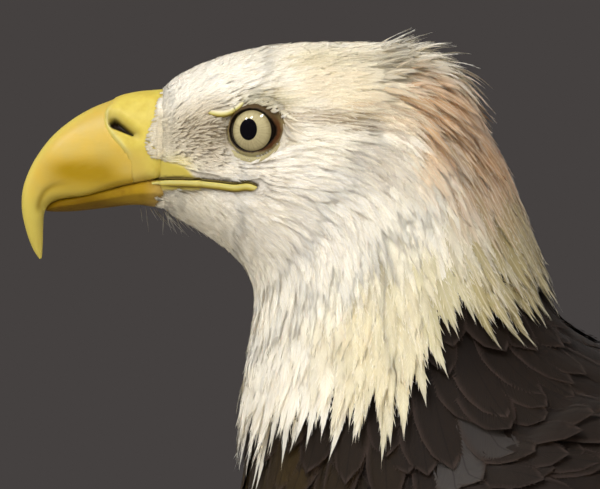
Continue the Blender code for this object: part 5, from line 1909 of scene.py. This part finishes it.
class EAGLE_OT_feathers(bpy.types.Operator):
    """Adds the plumage: white head and neck, brown body and wings, white tail"""

    bl_idname = "eagle.feathers"
    bl_label = "Feathers"

    def execute(self, context):
        white, brown = ((*paint, 1) for paint in (context.scene.eagle_coat.white,
                                                  context.scene.eagle_coat.brown))
        browned = plumage_markings("brown_markings", BROWN_MARKS_AND_LIGHT)
        # Each look is a material and a slot. The colours are those of a feather's tip, its
        # root, its edge and its quill.
        looks = {
            look: (feather_material(name, marks, sheen, *paints), slot)
            for look, name, slot, marks, sheen, *paints in (
                ("white", "white_feather_keratin", "white_plumage", work["markings"], 0.2,
                 white, "#CDBFA0", "#F4F0E6", "#E2D8BE"),
                ("brown", "brown_feather_keratin", "brown_plumage", browned, 0.06,
                 brown, "#17110D", "#3B302A", "#120D0A"),
                ("flight", "brown_flight_keratin", "brown_plumage", None, 0.06,
                 "#221A16", "#181210", "#3C322C", "#120E0C"),
                ("down", "white_lid_down", "white_plumage", None, 0.2,
                 "#F2EEE2", "#CFC6AE", "#F8F5EC", "#E8E2D0"),
                ("bristle", "dark_bristle_keratin", "white_plumage", None, 0.0,
                 "#75664E", "#9C8E74", "#6A5C46", "#6A5C46"),
                ("pale_bristle", "pale_bristle_keratin", "white_plumage", None, 0.1,
                 "#E9E4D6", "#C4B48C", "#EFEBE0", "#DDD4BE"),
                ("tail", "white_tail_keratin", "white_tail", None, 0.2,
                 "#F2EEE4", "#D8CDB4", "#FAF8F2", "#DDD3BC"))}
        make_white_feathers(looks)
        make_edge_feathers(looks["white"])
        make_bristles(looks)
        make_lid_feathers(looks)
        make_brown_feathers(looks)
        make_wing_feathers(looks)
        make_tail_feathers(looks["tail"])
        return {"FINISHED"}


class EAGLE_OT_feet(bpy.types.Operator):
    """Adds the scaled lower legs and toes, and their claws"""

    bl_idname = "eagle.feet"
    bl_label = "Feet"

    def execute(self, context):
        scales = scute_material()
        claw = talon_material()
        for side_name, sign in SIDES:
            make_tarsus(side_name, sign, scales)
            for toe in TOES:
                make_toe(toe, side_name, sign, scales)
                make_talon(toe, side_name, sign, claw)
        return {"FINISHED"}


STEPS = (EAGLE_OT_stage, EAGLE_OT_skin, EAGLE_OT_bill, EAGLE_OT_face, EAGLE_OT_eyes,
         EAGLE_OT_feathers, EAGLE_OT_feet)
LOOKS = (("eagle_bill", EagleBill), ("eagle_eye", EagleEye), ("eagle_coat", EagleCoat),
         ("eagle_stage", EagleStage))


class EAGLE_PT_panel(bpy.types.Panel):
    """Lists the eagle's sizes and colours and the steps that build it"""

    bl_idname = "EAGLE_PT_panel"
    bl_label = "Bald Eagle"
    bl_space_type = "VIEW_3D"
    bl_region_type = "UI"
    bl_category = "Eagle"

    def draw(self, context):
        for name, group in LOOKS:
            box = self.layout.box()
            for key in group.__annotations__:
                box.prop(getattr(context.scene, name), key)
        for operator in STEPS:
            self.layout.operator(operator.bl_idname)


CLASSES = tuple(group for _, group in LOOKS) + STEPS + (EAGLE_PT_panel,)


def register():
    for cls in CLASSES:
        bpy.utils.register_class(cls)
    for name, group in LOOKS:
        setattr(bpy.types.Scene, name, PointerProperty(type=group))


def unregister():
    for name, _ in LOOKS:
        delattr(bpy.types.Scene, name)
    for cls in reversed(CLASSES):
        bpy.utils.unregister_class(cls)


def main():
    register()
    bpy.ops.eagle.stage()
    bpy.ops.eagle.skin()
    bpy.ops.eagle.bill()
    bpy.ops.eagle.face()
    bpy.ops.eagle.eyes()
    bpy.ops.eagle.feathers()
    bpy.ops.eagle.feet()


if __name__ == "__main__":
    main()
